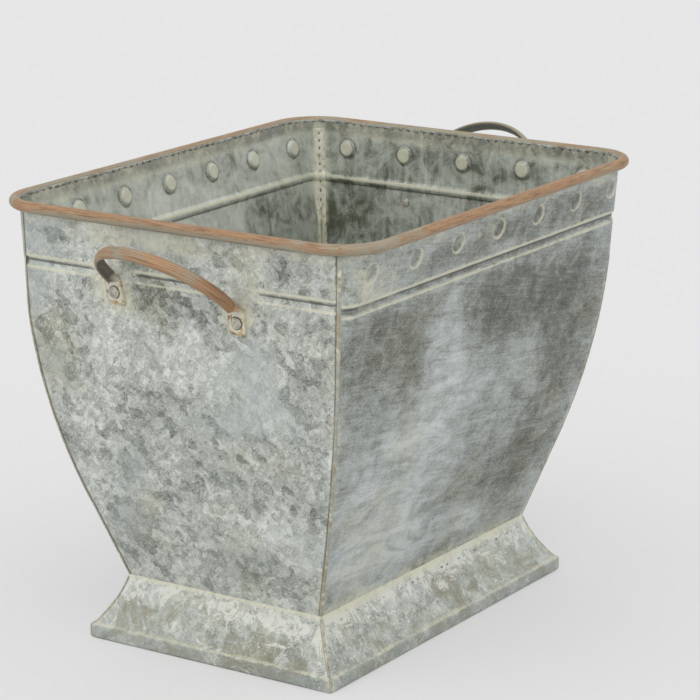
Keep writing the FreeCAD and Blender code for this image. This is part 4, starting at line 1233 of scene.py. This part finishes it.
def rim_finish(name, colours):
    """Copper brown patina of the rolled edge, worn to grey-green underneath and in patches."""
    f = Finish(name, 0.3)
    rolled = f.mark("rolled")
    streak = f.drawn(6.0, 0.7, 0.4, distance=55.0, rolled=13.0)
    fleck = f.drawn(5.0, 0.7, 0.6, distance=210.0, rolled=26.0)
    f.shade = f.tones(streak, (0.3, colours.copper_dark), (0.5, colours.copper), (0.7, colours.copper_light))
    patches = f.weigh((f.noise(17, 4.0, 0.6, 0.4), 1.0), (streak, 0.6), (f.mark("bare"), 1.0), base=0.0)
    low = f.weigh((rolled, 1.0), (streak, 0.3), (fleck, 0.5), base=0.0)
    f.cover(colours.copper_worn, f.span(patches, 0.8, 0.98), 0.8)
    f.cover(colours.copper_worn, f.span(fleck, 0.54, 0.64, 0.0, 0.6))
    f.cover(colours.copper_dark, f.span(fleck, 0.4, 0.3, 0.0, 0.5))
    f.cover(colours.copper_worn, f.span(rolled, 0.3, 0.1), 0.4)
    f.cover(colours.copper_worn, f.span(low, 1.06, 1.18, 0.0, 0.75))
    # Painted shade: a dark band along the underside of the roll
    f.cover(colours.grime, f.span(low, 1.32, 1.44, 0.0, 0.75))
    return f.close(f.span(streak, 0.2, 0.8, 0.4, 0.62), f.weigh((streak, 1.0), (f.noise(600, 3.0), 0.5)), 0.0004)


def handle_finish(name, colours):
    """Copper brown strap with lengthwise streaks, grey hollow and pale flattened feet."""
    f = Finish(name, 0.3)
    streak = f.drawn(5.0, 0.65, 0.2, distance=34.0, around=42.0)
    f.shade = f.tones(streak, (0.34, colours.copper_dark), (0.48, colours.copper), (0.68, colours.copper_light))
    bare = f.weigh((f.noise(40, 5.0, 0.65, 0.5), 0.9), (streak, 1.1), (f.mark("distance"), 1.2),
                   (f.mark("worn"), 1.0), base=0.0)
    f.cover(colours.copper_worn, f.span(bare, 1.14, 1.26, 0.0, 0.85))
    f.cover(colours.copper_dark, f.span(f.mark("border"), 0.55, 0.95, 0.0, 0.6))
    f.cover(colours.hollow, f.mark("hollow"), 0.75)
    chalk = f.tones(f.noise(210, 5.0, 0.65), (0.36, colours.ochre), (0.46, colours.wash), (0.7, colours.zinc_light))
    f.cover(chalk, f.mark("tab"), 0.9)
    f.cover(colours.ochre, f.ragged("rim", f.noise(260, 3.0), 0.5, 0.85, 1.15), 0.55)
    f.cover(colours.grime, f.times(f.mark("rim"), f.span(f.noise(140, 3.0), 0.58, 0.68)), 0.8)
    return f.close(f.span(streak, 0.2, 0.8, 0.38, 0.6), streak, 0.0004)


def solder_finish(name, colours):
    """Tan tarnished solder, rubbed pale in places, with a dark line kept along its edges."""
    f = Finish(name, 0.25)
    grain = f.noise(210, 6.0, 0.7, 0.5)
    f.shade = f.tones(grain, (0.3, colours.ochre), (0.46, colours.solder), (0.66, colours.wash))
    f.cover(colours.brushed_mid, f.span(f.noise(40, 4.0, 0.6), 0.4, 0.58), 0.75)
    f.cover(colours.grime, f.ragged("edge", f.noise(130), 0.6, 0.9, 1.2), 0.8)
    return f.close(f.span(grain, 0.2, 0.8, 0.45, 0.7), grain, 0.0005)


def filler_finish(name, colours):
    """Pale filler of the inside corners, with a dark hammered line along its middle."""
    f = Finish(name, 0.1)
    grain = f.noise(190, 6.0, 0.7, 0.6)
    f.shade = f.tones(grain, (0.3, colours.olive), (0.46, colours.wash), (0.7, colours.lime))
    f.cover(colours.grime, f.ragged("edge", grain, 0.5, 0.75, 1.1), 0.75)
    return f.close(f.span(grain, 0.2, 0.8, 0.5, 0.75), grain, 0.0005)


def rivet_finish(name, colours):
    """Dull hammered rivet heads, darkened round their rims."""
    f = Finish(name, 0.4)
    grain = f.noise(420, 4.0, 0.6)
    f.shade = f.tones(grain, (0.3, colours.zinc_dark), (0.48, colours.rivet), (0.72, colours.wash))
    f.cover(colours.grime, f.ragged("rim", grain, 0.6, 0.9, 1.25), 0.85)
    return f.close(f.span(grain, 0.2, 0.8, 0.35, 0.6), grain, 0.0005)


def wire_finish(name, colours):
    """Plain drawn wire, dull grey with brown spots."""
    f = Finish(name, 0.6)
    grain = f.noise(240, 4.0, 0.6)
    f.shade = f.tones(grain, (0.3, colours.copper_dark), (0.5, colours.zinc_dark), (0.7, colours.zinc_mid))
    return f.close(f.span(grain, 0.2, 0.8, 0.35, 0.6), grain, 0.0002)


def finishes(context):
    """All finishes by name, made once."""
    made = {m.name: m for m in bpy.data.materials if m.name.startswith("planter_")}
    if not made:
        for name, make in (("zinc_end", zinc_finish), ("zinc_long", zinc_finish), ("zinc_foot", zinc_finish),
                           ("rim", rim_finish), ("wire", wire_finish), ("handle", handle_finish),
                           ("solder", solder_finish), ("filler", filler_finish), ("rivet", rivet_finish)):
            made["planter_" + name] = make("planter_" + name, context.scene.planter_colours)
    return made


# Operators


class PLANTER_OT_walls(bpy.types.Operator):
    """Builds the four walls with their rolled rim, dimples and bead"""

    bl_idname = "planter.walls"
    bl_label = "Walls"

    def execute(self, context):
        sizes, handles, looks = context.scene.planter_sizes, context.scene.planter_handles, finishes(context)
        for number, (name, side, turn) in enumerate(SIDES):
            node = f"{side}_panel_{name}"
            work = wall_panel(sizes, handles, name, side, WALL_SEED + number)
            piece = work.build("skin_" + node, (looks["planter_zinc_" + side], looks["planter_rim"]), turn)
            finish_piece(piece, node)
        return {"FINISHED"}


class PLANTER_OT_foot(bpy.types.Operator):
    """Builds the four flared strips of the foot"""

    bl_idname = "planter.foot"
    bl_label = "Foot"

    def execute(self, context):
        sizes, looks = context.scene.planter_sizes, finishes(context)
        for number, (name, side, turn) in enumerate(SIDES):
            node = "foot_panel_" + name
            work = foot_panel(sizes, side, FOOT_SEED + number)
            piece = work.build("skin_" + node, (looks["planter_zinc_foot"],), turn)
            finish_piece(piece, node)
        return {"FINISHED"}


class PLANTER_OT_solder(bpy.types.Operator):
    """Builds the solder lines of body and foot and the filler strips inside"""

    bl_idname = "planter.solder"
    bl_label = "Solder lines"

    def execute(self, context):
        sizes, looks = context.scene.planter_sizes, finishes(context)
        turn = seam_turn(sizes, "end")
        waist = sizes.waist_height
        heights = np.linspace(waist + 0.3 * MM, sizes.rim_height - 5.0 * MM, 130)
        body = side_outline(sizes, "end", heights)
        half_x, half_y, _ = side_outline(sizes, "end", waist)
        flare, cross = foot_flares(sizes, "end")
        share = cross / flare
        path = foot_profile(sizes, flare)
        path = path[path[:, 1] < waist - 0.2 * MM]
        nose = foot_nose(sizes, path[:, 1]) * 2 / (1 + share)
        foot = (half_x + path[:, 0] - nose, half_y + path[:, 0] * share - nose * share, 0.5 * MM + nose)
        for number, (corner, x, y) in enumerate(CORNERS):
            line = solder_line(sizes, body, turn, heights, CORNER_SEED + 2 * number)
            piece = line.build("line_corner_" + corner, (looks["planter_solder"],), 0, (x, y), BAR_SHARP)
            finish_piece(piece, "corner_solder_" + corner)
            line = solder_line(sizes, foot, math.pi / 4, path[:, 1], FOOT_LINE_SEED + 2 * number)
            piece = line.build("line_foot_" + corner, (looks["planter_solder"],), 0, (x, y), BAR_SHARP)
            finish_piece(piece, "foot_solder_" + corner)
            strip = inner_seam(sizes, sizes.left_bead_drop if x < 0 else sizes.bead_drop, FILLER_SEED + 2 * number)
            piece = strip.build("filler_" + corner, (looks["planter_filler"],), 0, (x, y), BAR_SHARP)
            finish_piece(piece, None)
        return {"FINISHED"}


class PLANTER_OT_floor(bpy.types.Operator):
    """Builds the floor sheet and gives the rim's wire its finish"""

    bl_idname = "planter.floor"
    bl_label = "Floor and wire"

    def execute(self, context):
        looks = finishes(context)
        work = SheetWork()
        xs = np.linspace(FLOOR_LOW.x, FLOOR_HIGH.x, 70)
        ys = np.linspace(FLOOR_LOW.y, FLOOR_HIGH.y, 46)
        x, y = np.meshgrid(xs, ys)
        edge = np.minimum(FLOOR_HIGH.x - np.abs(x), FLOOR_HIGH.y - np.abs(y))
        dish = waves(x, y, FLOOR_SEED, 110 * MM, 25 * MM, 20) * 0.3 * MM * rise(edge, 0, 20 * MM)
        top = np.stack([x, y, FLOOR_HIGH.z - 0.4 * MM * rise(edge, 0, 30 * MM) + np.minimum(dish, 0.3 * MM)], -1)
        low = np.stack([x, y, np.minimum(FLOOR_LOW.z, top[..., 2] - 0.3 * MM)], -1)
        # Paler and darker towards the edges, where the floor meets the walls
        near = fade(edge, 2 * MM, 14 * MM)
        work.add_sheet(top, low, wash=(0.5 * near, 0.0), grime=(0.4 * near, 0.0), inside=(1.0, 1.0),
                       shade=(soft_ovals(x, y, FLOOR_STAINS), 0.0))
        piece = work.build("skin_floor_plate", (looks["planter_zinc_end"],))
        finish_piece(piece, "floor_plate")
        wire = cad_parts["rim_wire"]
        wire.data.materials.clear()
        wire.data.materials.append(looks["planter_wire"])
        return {"FINISHED"}


class PLANTER_OT_handles(bpy.types.Operator):
    """Builds the two bow handles"""

    bl_idname = "planter.handles"
    bl_label = "Handles"

    def execute(self, context):
        sizes, handles, looks = context.scene.planter_sizes, context.scene.planter_handles, finishes(context)
        for name, reach, lift, slant, turn, skews, worn in (
                ("right", handles.right_reach, handles.right_rise, handles.right_slant, 0, {1: 0.0, -1: 0.0}, 0.3),
                ("left", handles.left_reach, handles.left_rise, handles.left_slant, 180, {1: 0.08, -1: 0.24}, 0.0)):
            rings, marks = handle_work(handles, reach, lift, skews, worn)
            place = np.array(wall_place(sizes, handles, turn) @ Matrix.Rotation(slant, 4, "Z"))
            placed = rings @ place[:3, :3].T + place[:3, 3]
            work = SheetWork()
            work.add_tube(placed, **marks)
            piece = work.build("bow_" + name, (looks["planter_handle"],), sharp=STRAP_SHARP)
            finish_piece(piece, "handle_" + name)
        return {"FINISHED"}


class PLANTER_OT_rivets(bpy.types.Operator):
    """Sets the two rivets of each handle"""

    bl_idname = "planter.rivets"
    bl_label = "Rivets"

    def execute(self, context):
        sizes, handles, looks = context.scene.planter_sizes, context.scene.planter_handles, finishes(context)
        tree = rivet_tree(looks["planter_rivet"])
        for name, slant, turn in (("right", handles.right_slant, 0), ("left", handles.left_slant, 180)):
            place = wall_place(sizes, handles, turn)
            made = grown(rivet_seed(handles, sizes), tree, "rivets_" + name, Span=handles.span, Slant=slant,
                         Turn=tuple(place.to_euler()), Place=tuple(place.to_translation()))
            finish_piece(made, "handle_rivets_" + name)
        return {"FINISHED"}


class PLANTER_OT_marks(bpy.types.Operator):
    """Sets the crimps under the rim inside and the tool marks under the waist"""

    bl_idname = "planter.marks"
    bl_label = "Crimps and tool marks"

    def execute(self, context):
        sizes, looks = context.scene.planter_sizes, finishes(context)
        rim, waist, wire = np.array([sizes.rim_height]), sizes.waist_height, looks["planter_wire"]
        inward = sizes.sheet + 0.1 * MM
        crimps = []
        for _, side, turn in SIDES:
            shares = np.linspace(-0.98, 0.98, CRIMP_SPOTS)
            places = side_spots(*side_outline(sizes, side, rim), seam_turn(sizes, side), shares)
            out, along, bend, _ = [v[0] for v in places]
            spots = np.stack([out - inward * np.cos(bend), along - inward * np.sin(bend),
                              np.full(CRIMP_SPOTS, rim[0] + 0.6 * MM)], -1)
            crimps.append(turned(spots, turn))
        made = grown(path_piece(crimps), edge_marks_tree(wire), "crimps", Spacing=7.0 * MM, Length=4.2 * MM,
                     Height=2.0 * MM, Depth=0.7 * MM, Stray=0.3 * MM, Seed=3)
        finish_piece(made, None)

        half_x, half_y, _ = side_outline(sizes, "end", waist)
        path = foot_profile(sizes, foot_flares(sizes, "long")[0])
        at = int(np.argmin(np.abs(path[:, 1] - waist + 8 * MM)))
        step = path[at + 1] - path[at - 1]
        along = np.linspace(-half_x + 12 * MM, half_x - 12 * MM, TICK_SPOTS)
        spots = np.stack([np.full(TICK_SPOTS, half_y + path[at, 0]), along, np.full(TICK_SPOTS, path[at, 1])], -1)
        ticks = [turned(spots, turn) for turn in (-90, 90)]
        made = grown(path_piece(ticks), edge_marks_tree(wire), "tool_marks", Spacing=7.5 * MM, Length=2.2 * MM,
                     Height=1.5 * MM, Depth=0.6 * MM, Incline=math.atan2(-step[0], step[1]), Stray=0.8 * MM, Seed=8)
        finish_piece(made, None)
        return {"FINISHED"}


class PLANTER_OT_stage(bpy.types.Operator):
    """Sets up the pale floor, the soft light and the camera"""

    bl_idname = "planter.stage"
    bl_label = "Stage"

    def execute(self, context):
        scene = context.scene
        pale = tuple(scene.planter_colours.floor)
        scene.view_settings.view_transform = "Standard"
        mesh = bpy.data.meshes.new("stage_floor")
        far = STAGE_HALF
        mesh.from_pydata([(-far, -far, 0), (far, -far, 0), (far, far, 0), (-far, far, 0)], [], [(0, 1, 2, 3)])
        floor = new_piece("stage_floor", mesh)
        material = bpy.data.materials.new("stage_pale")
        material.use_nodes = True
        n = Nodes(material.node_tree)
        shader = n.tree.nodes["Principled BSDF"]
        for name, value in (("Base Color", (*[0.86 * c for c in pale], 1)), ("Roughness", 0.95),
                            ("Specular IOR Level", 0.0)):
            shader.inputs[name].default_value = value
        glow = n.out("ShaderNodeEmission", {"Color": (*[0.97 * c for c in pale], 1)})
        share = n.times(n.out("ShaderNodeLightPath", socket="Is Camera Ray"), 0.5)
        mix = n.out("ShaderNodeMixShader", {0: share, 1: shader.outputs[0], 2: glow})
        n.tree.links.new(mix, n.tree.nodes["Material Output"].inputs["Surface"])
        mesh.materials.append(material)

        scene.world = bpy.data.worlds.new("stage_world")
        scene.world.use_nodes = True
        n = Nodes(scene.world.node_tree)
        soft = n.tree.nodes["Background"]
        soft.inputs["Color"].default_value = (1, 1, 1, 1)
        soft.inputs["Strength"].default_value = 0.95
        seen = n.out("ShaderNodeBackground", {"Color": (*pale, 1)})
        rays = n.node("ShaderNodeLightPath").outputs
        straight = n.sum("MAXIMUM", rays["Is Camera Ray"], rays["Is Glossy Ray"])
        straight = n.sum("MAXIMUM", straight, rays["Is Transmission Ray"])
        mix = n.out("ShaderNodeMixShader", {0: straight, 1: soft.outputs[0], 2: seen})
        n.tree.links.new(mix, n.tree.nodes["World Output"].inputs["Surface"])

        for name, way, strength, spread in (("stage_key", (-0.7, -0.1, 0.95), 0.8, 70),
                                            ("stage_fill", (0.1, -0.6, 0.9), 0.3, 110)):
            lamp = bpy.data.lights.new(name, "SUN")
            lamp.energy = strength
            lamp.angle = math.radians(spread)
            new_piece(name, lamp).rotation_euler = Vector(way).to_track_quat("Z", "Y").to_euler()

        azimuth, elevation, tilt = (math.radians(a) for a in (CAMERA_TURN, CAMERA_RISE, CAMERA_ROLL))
        level = math.cos(elevation)
        back = Vector((math.sin(azimuth) * level, -math.cos(azimuth) * level, math.sin(elevation)))
        camera = bpy.data.cameras.new("stage_camera")
        camera.sensor_width = 36
        camera.lens = CAMERA_LENS
        camera.shift_x, camera.shift_y = CAMERA_SHIFT
        camera.clip_end = 200
        eye = new_piece("stage_camera", camera)
        eye.location = Vector(CAMERA_AIM) + back * CAMERA_DISTANCE
        eye.rotation_euler = (back.to_track_quat("Z", "Y").to_matrix() @ Matrix.Rotation(tilt, 3, "Z")).to_euler()
        scene.camera = eye
        return {"FINISHED"}


class PLANTER_PT_panel(bpy.types.Panel):
    """Lists the steps and sizes of the planter"""

    bl_idname = "PLANTER_PT_panel"
    bl_label = "Zinc planter"
    bl_space_type = "VIEW_3D"
    bl_region_type = "UI"
    bl_category = "Planter"

    def draw(self, context):
        for operator in OPERATORS:
            self.layout.operator(operator.bl_idname)
        for name in ("planter_sizes", "planter_handles", "planter_colours"):
            group = getattr(context.scene, name)
            box = self.layout.box()
            for prop in group.__annotations__:
                box.prop(group, prop)


OPERATORS = (PLANTER_OT_walls, PLANTER_OT_foot, PLANTER_OT_solder, PLANTER_OT_floor, PLANTER_OT_handles,
             PLANTER_OT_rivets, PLANTER_OT_marks, PLANTER_OT_stage)
CLASSES = (PlanterSizes, PlanterHandles, PlanterColours, *OPERATORS, PLANTER_PT_panel)


def register():
    """Registers the classes and hangs the properties on the scene."""
    for cls in CLASSES:
        bpy.utils.register_class(cls)
    bpy.types.Scene.planter_sizes = PointerProperty(type=PlanterSizes)
    bpy.types.Scene.planter_handles = PointerProperty(type=PlanterHandles)
    bpy.types.Scene.planter_colours = PointerProperty(type=PlanterColours)


def unregister():
    """Takes the properties and classes off again."""
    del bpy.types.Scene.planter_colours
    del bpy.types.Scene.planter_handles
    del bpy.types.Scene.planter_sizes
    for cls in reversed(CLASSES):
        bpy.utils.unregister_class(cls)


def main():
    """Builds the whole planter."""
    register()
    for step in ("walls", "foot", "solder", "floor", "handles", "rivets", "marks", "stage"):
        getattr(bpy.ops.planter, step)()


if __name__ == "__main__":
    main()
